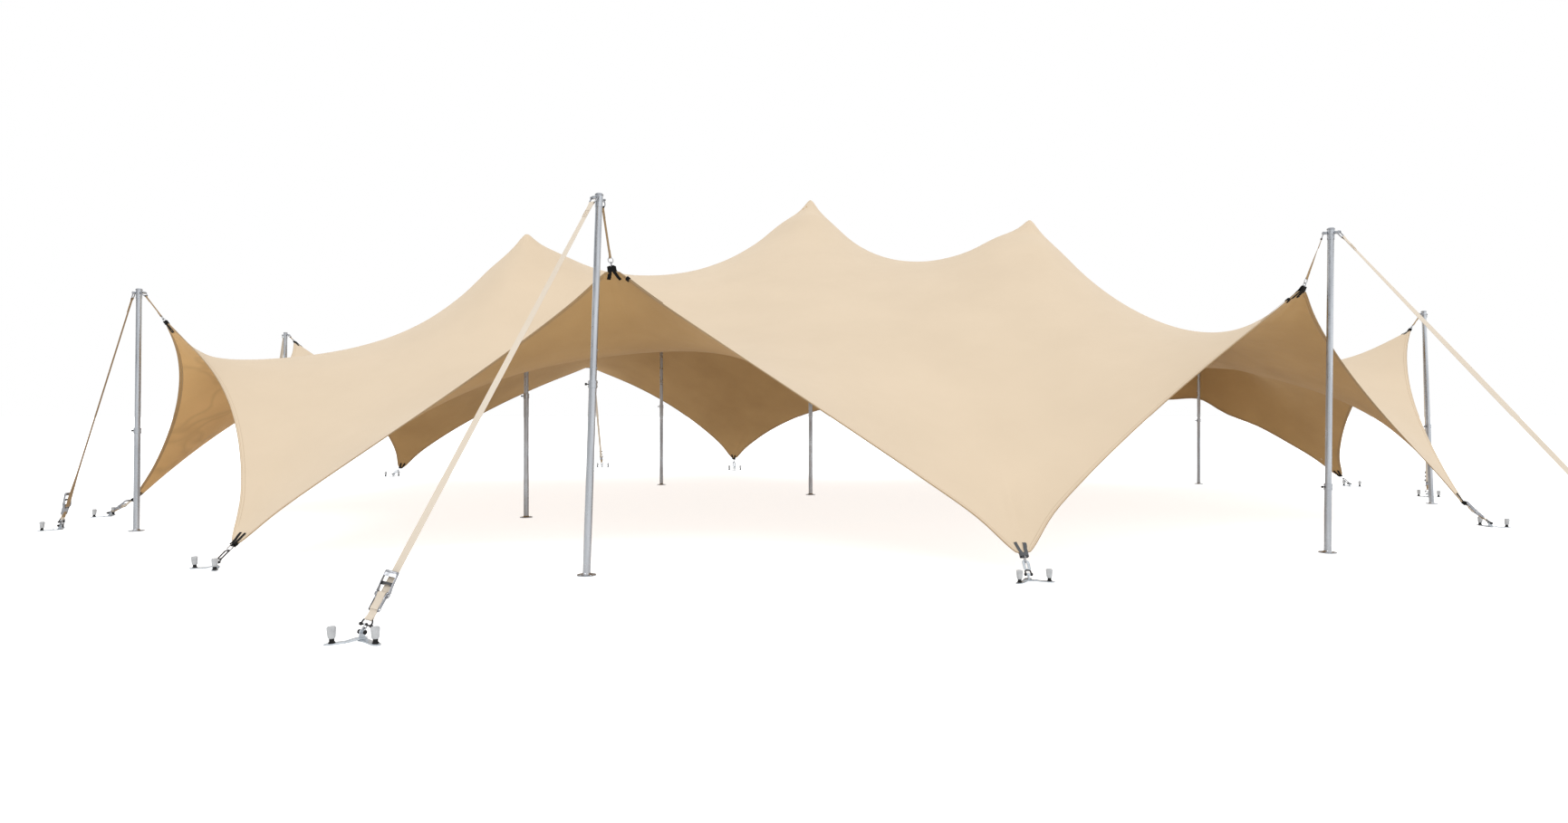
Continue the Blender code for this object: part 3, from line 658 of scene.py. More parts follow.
def painted_light_and_fold_shade(finish, colour, gain):
    """Painted light: colour times 1 + gain at the sheet's front left end, with painted shade along faint fold
    lines; both fade along x + y / 2.

    A fold line is a narrow band of painted shade beside the edges of large cells whose places are bent by
    noise.
    """
    place = coordinates(finish)
    heading = add_node(finish, "ShaderNodeVectorMath", {1: END_LIGHT_WAY}, operation="DOT_PRODUCT")
    join(finish, place, heading.inputs[0])
    bend = add_node(finish, "ShaderNodeTexNoise", {"Scale": FOLD_BEND_SCALE, "Detail": 2.0})
    join(finish, place, bend.inputs["Vector"])
    bent = joined(finish, "ShaderNodeVectorMath", place, bend.outputs["Color"], "ADD").outputs["Vector"]
    cells = add_node(finish, "ShaderNodeTexVoronoi", {"Scale": FOLD_SCALE}, feature="DISTANCE_TO_EDGE")
    join(finish, bent, cells.inputs["Vector"])
    bright = 1 + gain
    fold_limits = {"From Max": FOLD_WIDTH, "To Min": FOLD_SHADE * bright, "To Max": bright}
    folds = mapped(finish, cells.outputs["Distance"], fold_limits)
    end_light_limits = {"From Min": END_LIGHT_START, "From Max": END_LIGHT_STOP, "To Min": 1.0}
    share = add_node(finish, "ShaderNodeMapRange", end_light_limits)
    join(finish, heading.outputs["Value"], share.inputs["Value"])
    join(finish, folds, share.inputs["To Max"])
    shade = joined(finish, "ShaderNodeVectorMath", colour, share.outputs["Result"], "MULTIPLY")
    return shade.outputs["Vector"]


print("the paler end is", END_LIGHT_START - END_LIGHT_STOP, "m deep")


# %% Fabric and webbing
def cloth_finish(
    name, light, dark, rib_along, rib_across, roughness=0.85, sheen=0.15, depth=0.0004, gloss=0.2, fade=0.0
):
    """Woven cloth: two crossed sets of ribs for the weave, and a soft cloudiness in its colour.

    Fade is how much lighter the cloth is painted at the sheet's front left end: painted light that comes
    through it.
    """
    made, shader = new_finish(name, 0.0, roughness)
    shader.inputs["Sheen Weight"].default_value = sheen
    shader.inputs["Specular IOR Level"].default_value = gloss
    flat = coordinates(made, flat=True)
    cloud = noise(made, coordinates(made), 1.3, 4.0)
    colour = between(made, cloud, dark, light)
    # Painted light at the sheet's front left end, with painted shade on its fold lines
    if fade:
        colour = painted_light_and_fold_shade(made, colour, fade)
    join(made, colour, shader.inputs["Base Color"])
    weave = combine(made, waves(made, flat, "X", rib_across), waves(made, flat, "Y", rib_along), "ADD")
    worn = noise(made, coordinates(made), 9.0)
    join(made, spread(made, worn, roughness - 0.06, roughness + 0.08), shader.inputs["Roughness"])
    add_bump(made, shader, weave, depth, 0.5)
    return made


# Ribs of the weave along and across, and how rough, soft and deep it is
SHEET_CLOTH = {"rib_along": 60, "rib_across": 60, "sheen": 0.05, "depth": 0.0003}
SOFT_STRAP = {"rib_along": 130, "rib_across": 40, "roughness": 0.8, "sheen": 0.1, "depth": 0.0003}
TOP_CLOTH = {**SHEET_CLOTH, "roughness": 0.8, "sheen": 0.1}
sheet_top = cloth_finish("sheet_top", (0.640, 0.523, 0.385), (0.614, 0.500, 0.366), **TOP_CLOTH)
# Painted light: the underside's warm tan stands in for the light that comes through the shaded cloth
sheet_under = cloth_finish(
    "sheet_under", (0.505, 0.318, 0.138), (0.435, 0.268, 0.113), **SHEET_CLOTH, fade=0.38
)
# Painted shade: the hem's underside is darker where its double layer lets less light through
hem_under = cloth_finish("hem_under", (0.415, 0.257, 0.110), (0.355, 0.217, 0.093), **SHEET_CLOTH)
hem_cord = cloth_finish("hem_cord", (0.400, 0.285, 0.165), (0.330, 0.230, 0.130), 130, 130, roughness=0.8)
cream_webbing = cloth_finish("cream_webbing", (0.650, 0.572, 0.474), (0.605, 0.530, 0.436), **SOFT_STRAP)
tan_webbing = cloth_finish("tan_webbing", (0.36, 0.25, 0.14), (0.30, 0.20, 0.11), **SOFT_STRAP)
grey_webbing = cloth_finish(
    "grey_webbing", (0.105, 0.110, 0.118), (0.075, 0.079, 0.085), 130, 40, roughness=0.75
)
black_webbing = cloth_finish(
    "black_webbing", (0.008, 0.008, 0.008), (0.005, 0.005, 0.005), 130, 40,
    roughness=0.7, sheen=0.0, gloss=0.12,
)
thread = cloth_finish("thread", (0.50, 0.39, 0.26), (0.42, 0.32, 0.21), 200, 200)
print("fabrics and webbings:", len(bpy.data.materials))

# %% [markdown]
# ### Metal, plastic and rubber
# Bare metal takes its look from what it mirrors, so it needs little colour and an uneven roughness. The
# poles are drawn, so their patches are stretched along the tube. Hot-dip zinc is a mosaic of crystals. The
# plastic caps and rubber necks use the same recipe with no metal in it.
# %% Metal, plastic and rubber
def metal_finish(
    name, light, dark, roughness, streak=(1, 1, 1), grain=30.0, depth=0.0002, metallic=1.0, gloss=0.5
):
    """Metal: patches of lighter and darker colour, and a roughness that changes from place to place."""
    made, shader = new_finish(name, metallic, roughness)
    shader.inputs["Specular IOR Level"].default_value = gloss
    place = coordinates(made, streak)
    patches = noise(made, place, grain, 5.0)
    join(made, between(made, patches, dark, light, 0.35, 0.65), shader.inputs["Base Color"])
    worn = noise(made, coordinates(made), grain * 0.4, 2.0)
    join(made, spread(made, worn, roughness - 0.08, roughness + 0.12), shader.inputs["Roughness"])
    add_bump(made, shader, patches, depth, 0.4)
    return made


def galvanised_finish(name, light, dark, roughness):
    """Hot-dip zinc: crystals a few millimetres wide, each with its own shade."""
    made, shader = new_finish(name, 0.9, roughness)
    place = coordinates(made)
    crystals = add_node(made, "ShaderNodeTexVoronoi", {"Scale": 110.0})
    join(made, place, crystals.inputs["Vector"])
    shade = combine(made, crystals.outputs["Color"], noise(made, place, 40.0), "ADD")
    join(made, between(made, shade, dark, light, 0.3, 1.4), shader.inputs["Base Color"])
    worn = noise(made, place, 25.0)
    join(made, spread(made, worn, roughness - 0.05, roughness + 0.15), shader.inputs["Roughness"])
    add_bump(made, shader, noise(made, place, 180.0), 0.0002, 0.3)
    return made


DRAWN = (1, 1, 0.06)
aluminium = metal_finish(
    "aluminium", (0.52, 0.545, 0.58), (0.38, 0.40, 0.43), roughness=0.30, streak=DRAWN, grain=26.0
)
zinc = galvanised_finish("zinc", (0.60, 0.64, 0.68), (0.42, 0.46, 0.50), roughness=0.42)
ratchet_steel = metal_finish(
    "ratchet_steel", (0.42, 0.43, 0.46), (0.28, 0.29, 0.31), roughness=0.38, grain=55.0
)
bright_steel = metal_finish(
    "bright_steel", (0.52, 0.53, 0.55), (0.38, 0.39, 0.41), roughness=0.30, grain=50.0
)
black_steel = metal_finish(
    "black_steel", (0.030, 0.030, 0.033), (0.014, 0.014, 0.015),
    roughness=0.35, grain=40.0, metallic=0.2, gloss=0.3,
)
cap_plastic = metal_finish("cap_plastic", (0.50, 0.51, 0.52), (0.41, 0.42, 0.43), roughness=0.5, metallic=0.0)
black_rubber = metal_finish(
    "black_rubber", (0.014, 0.014, 0.014), (0.008, 0.008, 0.008),
    roughness=0.6, grain=60.0, metallic=0.0, gloss=0.2,
)
print("finishes:", len(bpy.data.materials))

# %% [markdown]
# ## The sheet
# Real stretch fabric is under a millimetre thick. Here it has four, enough for a clean edge at any
# distance. The same surface is laid twice, half the thickness up and down its own normals, and closed round
# the rim. The top is sand beige. The underside has a finish of its own, a warm tan of painted light that
# stands in for the light coming through the shaded cloth.
# %% Build the sheet
SHEET_THICKNESS = 0.004
FLAT_LONG = 17.5
FLAT_WIDE = 13.3


def rim_of(grid):
    """Points round the rim: front, right side, back, left side."""
    return np.concatenate([grid[:, 0], grid[-1, 1:], grid[-2::-1, -1], grid[0, -2:0:-1]])


def build_sheet():
    """Closed shell: top and bottom layers of quads, and one strip of quads round the rim.

    Layer = surface plus or minus half the thickness times its normals.
    """
    rows, columns = surface.shape[:2]
    half = normals * (SHEET_THICKNESS / 2)
    points = np.concatenate([(surface + half).reshape(-1, 3), (surface - half).reshape(-1, 3)])
    under = grid_quads(rows, columns, False, False)
    count = rows * columns
    index = np.arange(count).reshape(rows, columns)
    rim = rim_of(index)
    after = np.roll(rim, -1)
    strip = np.stack([rim, rim + count, after + count, after], axis=-1)
    faces = np.concatenate([under[:, ::-1], under + count, strip])
    mesh = bpy.data.meshes.new("canopy_sheet_cloth")
    mesh.from_pydata(points.tolist(), [], faces.tolist())
    mesh.materials.append(sheet_top)
    mesh.materials.append(sheet_under)
    marks = np.zeros(len(faces), dtype=int)
    marks[len(under) : 2 * len(under)] = 1
    mesh.polygons.foreach_set("material_index", marks)
    flat_long = LONG_LINES[:, None] * FLAT_LONG / NET_LONG + np.zeros((1, columns))
    flat_wide = WIDE_LINES[None, :] * FLAT_WIDE / NET_WIDE + np.zeros((rows, 1))
    places = np.stack([flat_long, flat_wide], axis=-1).reshape(-1, 2)
    places = np.concatenate([places, places])
    return finished("canopy_sheet_cloth", mesh, places, ["canopy_sheet"], "tent")


sheet = build_sheet()
print("sheet:", len(sheet.data.polygons), "faces")

# %% [markdown]
# ## The hem
# Round the whole rim the fabric is turned over a cord and sewn down with two rows of stitches. From above it
# is the same sand beige as the sheet, with the tan cord along its edge. From below the double layer lets
# less light through, and that shade is painted into a darker finish. Its section is carried once round the
# rim, with a finish for each part, and it narrows beside each corner, where it would run into itself.
# %% Section of the hem
HEM_WIDTH = 0.034
HEM_LEAST_WIDTH = 0.010
HEM_START = 0.008
HEM_HALF_THICKNESS = 0.0032
CORD_RADIUS = 0.0050
STITCH_RISE = 0.0007
STITCH_PLACES = (0.88, 0.30)
STITCH_SHARE = 0.035


def hem_section():
    """Section from the top's inner edge round the cord to the bottom's: shares, offsets, rises and finishes.

    A share is a part of the width inwards. Each row of stitches is a low, narrow ridge at its place.
    """
    top = [(1.0, HEM_HALF_THICKNESS * 0.7), (0.97, HEM_HALF_THICKNESS)]
    ridge = ((STITCH_SHARE, 0), (0.4 * STITCH_SHARE, 1), (-0.4 * STITCH_SHARE, 1), (-STITCH_SHARE, 0))
    for place in STITCH_PLACES:
        top += [(place + step, HEM_HALF_THICKNESS + rise * STITCH_RISE) for step, rise in ridge]
    turn = np.linspace(np.pi / 2, -np.pi / 2, 7)
    below = [(share, -rise) for share, rise in top[::-1]]
    shares = np.array([share for share, _ in top] + [0.0] * 7 + [share for share, _ in below])
    cord_rises = list(np.sin(turn) * CORD_RADIUS)
    rises = np.array([rise for _, rise in top] + cord_rises + [rise for _, rise in below])
    offsets = np.concatenate([np.zeros(len(top)), -np.cos(turn) * CORD_RADIUS, np.zeros(len(top))])
    seam = [sheet_top, sheet_top] + [thread, thread, thread, sheet_top] * len(STITCH_PLACES)
    dark = [hem_under if part is sheet_top else part for part in seam[-2::-1]]
    return shares, offsets, rises, [*seam[:-1], sheet_top, *[hem_cord] * 6, hem_under, *dark, hem_under]


print("points in the hem's section:", len(hem_section()[0]))


# %% Build the hem
def build_hem():
    """Hem section (inward, up) carried round the rim: inward is the normal cross the rim's direction."""
    rim, up = rim_of(surface), rim_of(normals)
    ahead = unit(np.roll(rim, -1, axis=0) - np.roll(rim, 1, axis=0))
    inward = unit(np.cross(up, ahead))
    near = np.min([np.linalg.norm(rim - place, axis=1) for place, _, _ in corner_axes.values()], axis=0)
    width = np.clip(HEM_START + 0.5 * (near - CORNER_HALF_WIDTH), HEM_LEAST_WIDTH, HEM_WIDTH)
    shares, offsets, rises, bands = hem_section()
    x = shares[None] * width[:, None] + offsets[None]
    points = rim[:, None] + x[..., None] * inward[:, None] + rises[None, :, None] * up[:, None]
    run = np.concatenate([[0], np.cumsum(np.linalg.norm(np.diff(rim, axis=0), axis=1))])
    uv = np.stack([x, np.broadcast_to(run[:, None], x.shape)], axis=-1)
    shape = {"points": points[:, ::-1], "uv": uv[:, ::-1], "loop": True, "finish": bands[-2::-1] + bands[-1:]}
    finishes = [sheet_top, hem_under, hem_cord, thread]
    return make_piece("canopy_hem", [shape], finishes)


hem = build_hem()
print("hem:", len(hem.data.polygons), "faces")

# %% [markdown]
# ## Where things hook in
# Everything hangs between the same points as in the CAD source: two eyes on each edge pole's head, one eye on
# each ground anchor, and the sheet's corners. Edge poles are listed by foot, head and height of the joint.
# %% Poles and anchors
EDGE_POLES = {
    "pole_left": ((-7.12, -3.20), (-7.09, -3.20, 2.61), 1.05),
    "pole_front_left": ((-1.70, -5.84), (-1.60, -5.84, 3.00), 1.47),
    "pole_front_right": ((4.80, -4.70), (4.83, -4.70, 2.96), 0.57),
    "pole_right": ((8.87, -0.33), (8.76, -0.33, 2.69), 1.05),
    "pole_back": ((-4.31, 6.60), (-4.31, 6.56, 2.66), 1.05),
    "pole_back_left": ((-8.56, 2.30), (-8.54, 2.30, 2.62), 1.05),
}
GUY_ANCHORS = {
    "pole_left": (-8.02, -3.10),
    "pole_front_left": (-2.52, -7.86),
    "pole_front_right": (6.76, -5.84),
    "pole_right": (9.50, 0.62),
    "pole_back": (-4.33, 7.86),
    "pole_back_left": (-9.62, 3.50),
}
SHEET_ANCHORS = {
    "front_left": (-4.82, -5.50),
    "front": (1.71, -6.06),
    "right": (7.70, -2.88),
    "back_right": (9.53, 2.56),
    "back_middle": (3.38, 7.85),
    "back": (-1.23, 6.85),
    "back_left": (-7.86, 4.93),
    "left": (-8.40, -1.86),
}
print("edge poles:", len(EDGE_POLES), "anchors:", len(GUY_ANCHORS) + len(SHEET_ANCHORS))

# %% [markdown]
# ## What turns and twists
# Long straps never hang quite flat. A guy is twisted a little on its way down, so the light runs unevenly
# along it, and from the front it looks now broad, now narrow. Anchors are driven in where the ground allows,
# so some have their arms turned. Each of these is an angle against the plain direction.
# %% Turns and eyes
TURNING_GUYS = ("pole_left", "pole_front_left")
RATCHET_TIES = ("left", "right")
# Turn of a guy's ratchet about its strap, and of an anchor's arms on the ground; the others aren't turned
GUY_TWISTS = {"pole_front_left": math.radians(20), "pole_front_right": math.radians(20)}
ANCHOR_TURNS = {
    "guy_anchor_front_left": math.radians(23),
    "sheet_anchor_front": math.radians(15),
    "sheet_anchor_front_left": math.radians(-30),
    "sheet_anchor_right": math.radians(50),
}
# Further twist of a guy's strap, against its ratchet: at the pole's head, and in its lower half
STRAP_TWISTS = {
    "pole_left": (math.radians(26), math.radians(26)),
    "pole_front_left": (math.radians(-24), math.radians(-8)),
    "pole_front_right": (math.radians(-45), math.radians(-80)),
}
EYE_REACH = 0.058
EYE_DROP = 0.045
ANCHOR_EYE_HEIGHT = 0.048
UP = np.array([0.0, 0.0, 1.0])


def level_side(direction):
    """Unit vector across a direction and level with the ground."""
    return unit(np.array([-direction[1], direction[0], 0.0]))


def turned_about(side, axis, angle):
    """A vector square to an axis, turned about it: cosine times itself plus sine times axis cross itself."""
    return side * math.cos(angle) + np.cross(axis, side) * math.sin(angle)


def head_eye(name, towards):
    """Eye on the side of a pole's head that faces a point."""
    head = np.array(EDGE_POLES[name][1])
    flat = unit(np.array([towards[0] - head[0], towards[1] - head[1], 0.0]))
    return head + flat * EYE_REACH - UP * EYE_DROP


def anchor_eye(plan):
    """Eye of the anchor at a place on the ground."""
    return np.array([*plan, ANCHOR_EYE_HEIGHT])


print("eye of the left guy's anchor:", anchor_eye(GUY_ANCHORS["pole_left"]))

# %% [markdown]
# ## Links, shackles and loops of webbing
# Round steel is a circle carried along an oval or a U. Webbing is a flat band carried along a path that
# wraps a bar at each end and comes back along itself, as it does where it is sewn.
# %% Links and shackles
PLATE_LINK_THICKNESS = 0.007


def oval_link(centre, along, across, half_length, half_width, wire, finish):
    """Closed link: round wire along an oval."""
    path = oval(centre, along, across, half_length, half_width)
    return carried(path, round_profile(wire, 10), np.cross(along, across), finish, loop=True)


def plate_link(centre, along, across, half_length, half_width, rim, finish):
    """Flat plate with a slot: a flat band carried along an oval, its width in the oval's plane."""
    path = oval(centre, along, across, half_length, half_width)
    outside = np.cross(np.roll(path, -1, axis=0) - np.roll(path, 1, axis=0), np.cross(along, across))
    return carried(path, strap_profile(2 * rim, PLATE_LINK_THICKNESS), outside, finish, loop=True)


def chain(start, end, across, links, plates=()):
    """Interlocked links from start to end, each turned a quarter to the last; lengths stretch to fit.

    A link is (length, half width, wire radius, finish). Neighbours overlap by both wires' diameters. The
    links numbered in plates are flat plates, as wide in their rim as a wire of that radius.
    """
    along = unit(end - start)
    across = unit(across - along * (across @ along))
    quarter = np.cross(along, across)
    wires = np.array([link[2] for link in links])
    overlaps = 2 * (wires[1:] + wires[:-1])
    lengths = np.array([link[0] for link in links])
    lengths = lengths * (np.linalg.norm(end - start) + overlaps.sum()) / lengths.sum()
    starts = np.concatenate([[0], np.cumsum(lengths[:-1] - overlaps)])
    shapes = []
    for number, (_, half_width, wire, finish) in enumerate(links):
        centre = start + along * (starts[number] + lengths[number] / 2)
        sideways = across if number % 2 == 0 else quarter
        kind = plate_link if number in plates else oval_link
        shapes.append(kind(centre, along, sideways, lengths[number] / 2 - wire, half_width, wire, finish))
    return shapes


pair = [(0.05, 0.012, 0.004, bright_steel)] * 2
tell("two links:", chain(np.zeros(3), UP * 0.09, x_way, pair))


# %% Bolt heads and shackles
def hexagon_head(centre, axis, radius, height, finish):
    """Bolt's head: a turned part of six sides, its top edge drawn in a little."""
    return turned(centre, axis, [(0, radius), (height * 0.8, radius), (height, radius * 0.86)], finish, 6)


def clevis(eye, along, side, length, half_width, wire, finish):
    """Shackle round an eye: a U of round steel, two flat ears, and a pin with its head and nut."""
    corners = [
        eye - side * half_width - along * 0.008,
        eye - side * half_width + along * length,
        eye + side * half_width + along * length,
        eye + side * half_width - along * 0.008,
    ]
    path = softened(corners, half_width * 0.8, 8)
    shapes = [carried(path, round_profile(wire, 10), np.cross(along, side), finish)]
    for sign in (-1, 1):
        ear = eye + side * sign * (half_width - wire)
        edge, face = wire * 1.7, wire * 2.1
        rounds = [(0, edge), (0.001, face), (2 * wire - 0.001, face), (2 * wire, edge)]
        shapes.append(turned(ear, side * sign, rounds, finish, 16))
    outside = half_width + wire
    shapes.append(turned(eye - side * outside, side, [(0, wire), (2 * outside, wire)], finish, 12))
    shapes.append(hexagon_head(eye + side * outside, side, wire * 1.8, 0.006, finish))
    shapes.append(hexagon_head(eye - side * outside, -side, wire * 1.8, 0.006, finish))
    return shapes


tell("one shackle:", clevis(np.zeros(3), UP, x_way, 0.06, 0.03, 0.005, ratchet_steel))


# %% Loops of webbing
SEAM_PLACE = 0.72
SEAM_HALF_LENGTH = 0.20
SEAM_HALF_WIDTH = 0.38
THREAD_RADIUS = 0.0009
LAYER_STEP = 1.05


def half_turn(bar, along, out, radius, first, steps=9):
    """Half circle round a bar on the far side of along, from first * out to -first * out."""
    turn = np.linspace(0, np.pi, steps)[:, None]
    return bar + radius * (np.cos(turn) * out * first + np.sin(turn) * along)


def sewn_strap(low_bar, high_bar, radii, side, width, thickness, overlaps, finish, twist=0.0):
    """Strap between two bars: wrapped round each, sewn back on itself, and turned by a twist between them.

    Path: sewn layer, half turn round the high bar, straight down, half turn round the low bar, sewn layer.
    The band's side turns evenly along the straight part.
    """
    along = unit(high_bar - low_bar)
    side = unit(side - along * (side @ along))
    low_side = turned_about(side, along, twist)
    out, low_out = np.cross(side, along), np.cross(low_side, along)
    low, high = radii[0] + thickness / 2, radii[1] + thickness / 2
    layer = thickness * LAYER_STEP
    flare = [high * 3.0, low * 3.0]
    top = np.concatenate([
        [high_bar - along * overlaps[1] + out * layer, high_bar - along * flare[0] + out * layer],
        half_turn(high_bar, along, out, high, 1),
    ])
    share = np.linspace(0, 1, 9)[:, None]
    middle = (high_bar - along * overlaps[1]) * (1 - share) + (low_bar + along * overlaps[0]) * share
    middle = np.concatenate([[high_bar - along * flare[0]], middle, [low_bar + along * flare[1]]])
    bottom = np.concatenate([
        half_turn(low_bar, -along, low_out, low, -1),
        [low_bar + along * flare[1] + low_out * layer, low_bar + along * overlaps[0] + low_out * layer],
    ])
    angles = twist * np.concatenate([[0], share[:, 0], [1]])[:, None]
    sides = np.cos(angles) * side + np.sin(angles) * np.cross(along, side)
    sides = np.concatenate([np.tile(side, (len(top), 1)), sides, np.tile(low_side, (len(bottom), 1))])
    shapes = [carried(np.concatenate([top, middle, bottom]), strap_profile(width, thickness), sides, finish)]
    high_seam = (high_bar, -along, side, out, overlaps[1])
    low_seam = (low_bar, along, low_side, low_out, overlaps[0])
    for bar, way, across, face, overlap in (high_seam, low_seam):
        spot = bar + way * overlap * SEAM_PLACE + face * (layer + thickness / 2)
        shapes += stitched_box(spot, way, across, width, overlap)
    return shapes


def stitched_box(centre, along, side, width, overlap):
    """Seam that holds an overlap: thick thread in a square with a cross, standing a little proud."""
    half_along, half_side = overlap * SEAM_HALF_LENGTH, width * SEAM_HALF_WIDTH
    corners = [(-1, -1), (1, -1), (1, 1), (-1, 1), (-1, -1), (1, 1), (1, -1), (-1, 1)]
    path = np.array([centre + along * x * half_along + side * y * half_side for x, y in corners])
    return [carried(softened(path, 0.001, 3), round_profile(THREAD_RADIUS, 5), np.cross(along, side), thread)]


ends = (np.zeros(3), UP)
tell("one sewn strap:", sewn_strap(*ends, (0.005, 0.005), x_way, 0.02, 0.003, (0.06, 0.09), tan_webbing))

# %% [markdown]
# ## Webbing forks at the corners
# Legs of webbing are sewn on both faces of the sheet's blunt corner and meet in a loop that holds the first
# link. A cross band holds them together where they leave the fabric. A leg must lie on the cloth, so its
# points are dropped onto the sheet's own surface and lifted just clear of it, and more over the hem's cord.
# %% Lay a strip on the sheet
FORK_WIDTH = 0.030
FORK_THICKNESS = 0.003
FORK_SEWN = 0.108
FORK_APEX = 0.036
CORD_REACH = 0.022
ON_CLOTH = 0.0052
OVER_CORD = 0.0080
# Legs of a fork: place across the corner at the sewn end, and at the tip
LEGS = ((-0.036, -0.009), (0.036, 0.009))
all_points, all_normals = surface.reshape(-1, 3), normals.reshape(-1, 3)


def on_cloth(points, lifts):
    """Points dropped along the nearest normal to its tangent plane, then lifted; and those normals."""
    nearest = np.linalg.norm(points[:, None] - all_points[None], axis=2).argmin(axis=1)
    up = all_normals[nearest]
    height = ((points - all_points[nearest]) * up).sum(axis=1)
    return points + up * (lifts - height)[:, None], up


def sewn_leg(name, tip, pull, places, order, finish):
    """A leg as one loop: out along the upper face, round the tip, back along the lower face."""
    corner, outward, across = corner_axes[name]
    inward = np.linspace(FORK_SEWN, 0.006, 8)
    share = np.linspace(0, 1, 8) * 0.55
    aside = places[0] + (places[1] - places[0]) * share
    flat = corner - outward * inward[:, None] + across * aside[:, None]
    lift = np.where(inward < CORD_REACH, OVER_CORD, ON_CLOTH) + FORK_THICKNESS * order
    above, up = on_cloth(flat, lift)
    below, _ = on_cloth(flat, -lift)
    bow = half_turn(tip, pull, up[-1], 0.006 + 0.0034 * order, 1)
    sides = across - up * (up @ across)[:, None]
    path = np.concatenate([above, bow, below[::-1]])
    sides = np.concatenate([sides, np.repeat(sides[-1:], len(bow), axis=0), sides[::-1]])
    return carried(path, strap_profile(FORK_WIDTH, FORK_THICKNESS), sides, finish)


print("points of the cloth to lie on:", len(all_points))


# %% Build a fork
BAND_PLACE = 0.018
BAND_WIDTH = 0.040
BAND_HALF_SIZES = (0.037, 0.0135)


def fork(name, pull, finish, legs=LEGS):
    """Legs from the blunt corner to the apex, with a flat band round them just outside the cloth.

    The second leg lies on the first, so its order is one; a third one lies beside them, on the same level.
    """
    corner, _, across = corner_axes[name]
    apex = corner + pull * FORK_APEX
    shapes = []
    for number, leg in enumerate(legs):
        shapes.append(sewn_leg(name, apex + across * leg[1], pull, leg, min(number, 1), finish))
    band = oval(corner + pull * BAND_PLACE, across, unit(np.cross(pull, across)), *BAND_HALF_SIZES, 24)
    shapes.append(carried(band, strap_profile(BAND_WIDTH, FORK_THICKNESS), pull, finish, loop=True))
    return shapes, apex


tell("one fork:", fork("front", corner_axes["front"][1], grey_webbing)[0])


# %% A keeper on the hem
KEEPER_HALF_SIZES = (0.021, 0.0145)


def hem_keeper(name, step, reach, finish, tail_finish):
    """Short band round the hem beside a corner: a flat band round an oval, and a tail along the hem."""
    i, _ = corner_knots()[name]
    row = np.searchsorted(LONG_LINES, i)
    rows = np.arange(row, row + 40 * step, step)
    far = np.linalg.norm(surface[rows, 0] - corner_axes[name][0], axis=1)
    spot = rows[np.argmax(far > reach)]
    ahead = unit(surface[spot + 1, 0] - surface[spot - 1, 0])
    inward = unit(np.cross(normals[spot, 0], ahead))
    ring = oval(surface[spot, 0] + inward * 0.010, inward, normals[spot, 0], *KEEPER_HALF_SIZES, 20)
    tail_rows = np.arange(spot, spot + 6 * step, step)
    tail_path = surface[tail_rows, 0] + inward * 0.012 + normals[tail_rows, 0] * 0.0115
    return [
        carried(ring, strap_profile(0.030, 0.004), ahead, finish, loop=True),
        carried(tail_path, strap_profile(0.016, 0.0025), inward, tail_finish),
    ]


tell("one keeper:", hem_keeper("pole_front_left", 1, 0.118, black_webbing, tan_webbing))

# %% [markdown]
# ## Hangers and sheet ties
# A hanger is a fork, a small link, a ring and a tan strap up to a shackle on the pole's head. A tie runs the
# same way down to its anchor, without the strap. Each replaces the plain CAD bar of the same name.
# %% Build the hangers
HANGER_WIDTH = 0.020
WEBBING_THICKNESS = 0.0032
HANGER_LINKS_REACH = 0.082
HANGER_SHACKLE = 0.052
# Beside the two front corners a keeper holds the hem: which way along it, and how far from the corner
KEEPERS = {"pole_front_left": (1, 0.118), "pole_front_right": (-1, 0.14)}
THREE_LEGS = (*LEGS, (-0.088, -0.014))
# Twist of a hanger's strap between its ends, and turn of the whole hanger about its pull
HANGER_TWISTS = {"pole_front_right": math.radians(-60)}
HANGER_TURNS = {"pole_front_left": math.radians(50)}


def build_hanger(name):
    """Fork, link and ring, then a strap round the bar of the shackle that hangs on the pole's head."""
    eye = head_eye(name, HIGH_CORNERS[name])
    corner, _, across = corner_axes[name]
    pull = unit(eye - corner)
    side = turned_about(level_side(pull), pull, HANGER_TURNS.get(name, 0.0))
    shapes, apex = fork(name, pull, black_webbing, THREE_LEGS if name == "pole_front_right" else LEGS)
    if name in KEEPERS:
        shapes += hem_keeper(name, *KEEPERS[name], black_webbing, tan_webbing)
    ring_end = apex + pull * HANGER_LINKS_REACH
    links = [(0.052, 0.011, 0.0035, ratchet_steel), (0.058, 0.021, 0.004, bright_steel)]
    shapes += chain(apex - pull * 0.004, ring_end, np.cross(pull, across), links)
    bar = eye - pull * HANGER_SHACKLE
    shapes += clevis(eye, -pull, side, HANGER_SHACKLE, 0.026, 0.0045, ratchet_steel)
    shapes += sewn_strap(
        ring_end - pull * 0.004, bar, (0.0045, 0.005), side, HANGER_WIDTH, WEBBING_THICKNESS, (0.06, 0.09),
        tan_webbing, HANGER_TWISTS.get(name, 0.0),
    )
    sleeve = [(0, 0.0075), (0.002, 0.0085), (0.024, 0.0085), (0.026, 0.0075)]
    shapes.append(turned(bar - side * 0.013, side, sleeve, black_rubber, 14))
    finishes = [black_webbing, ratchet_steel, bright_steel, tan_webbing, thread, black_rubber]
    make_piece("hanger_" + name[5:] + "_strap", shapes, finishes, ["hanger_" + name[5:]])


for pole_name in EDGE_POLES:
    build_hanger(pole_name)

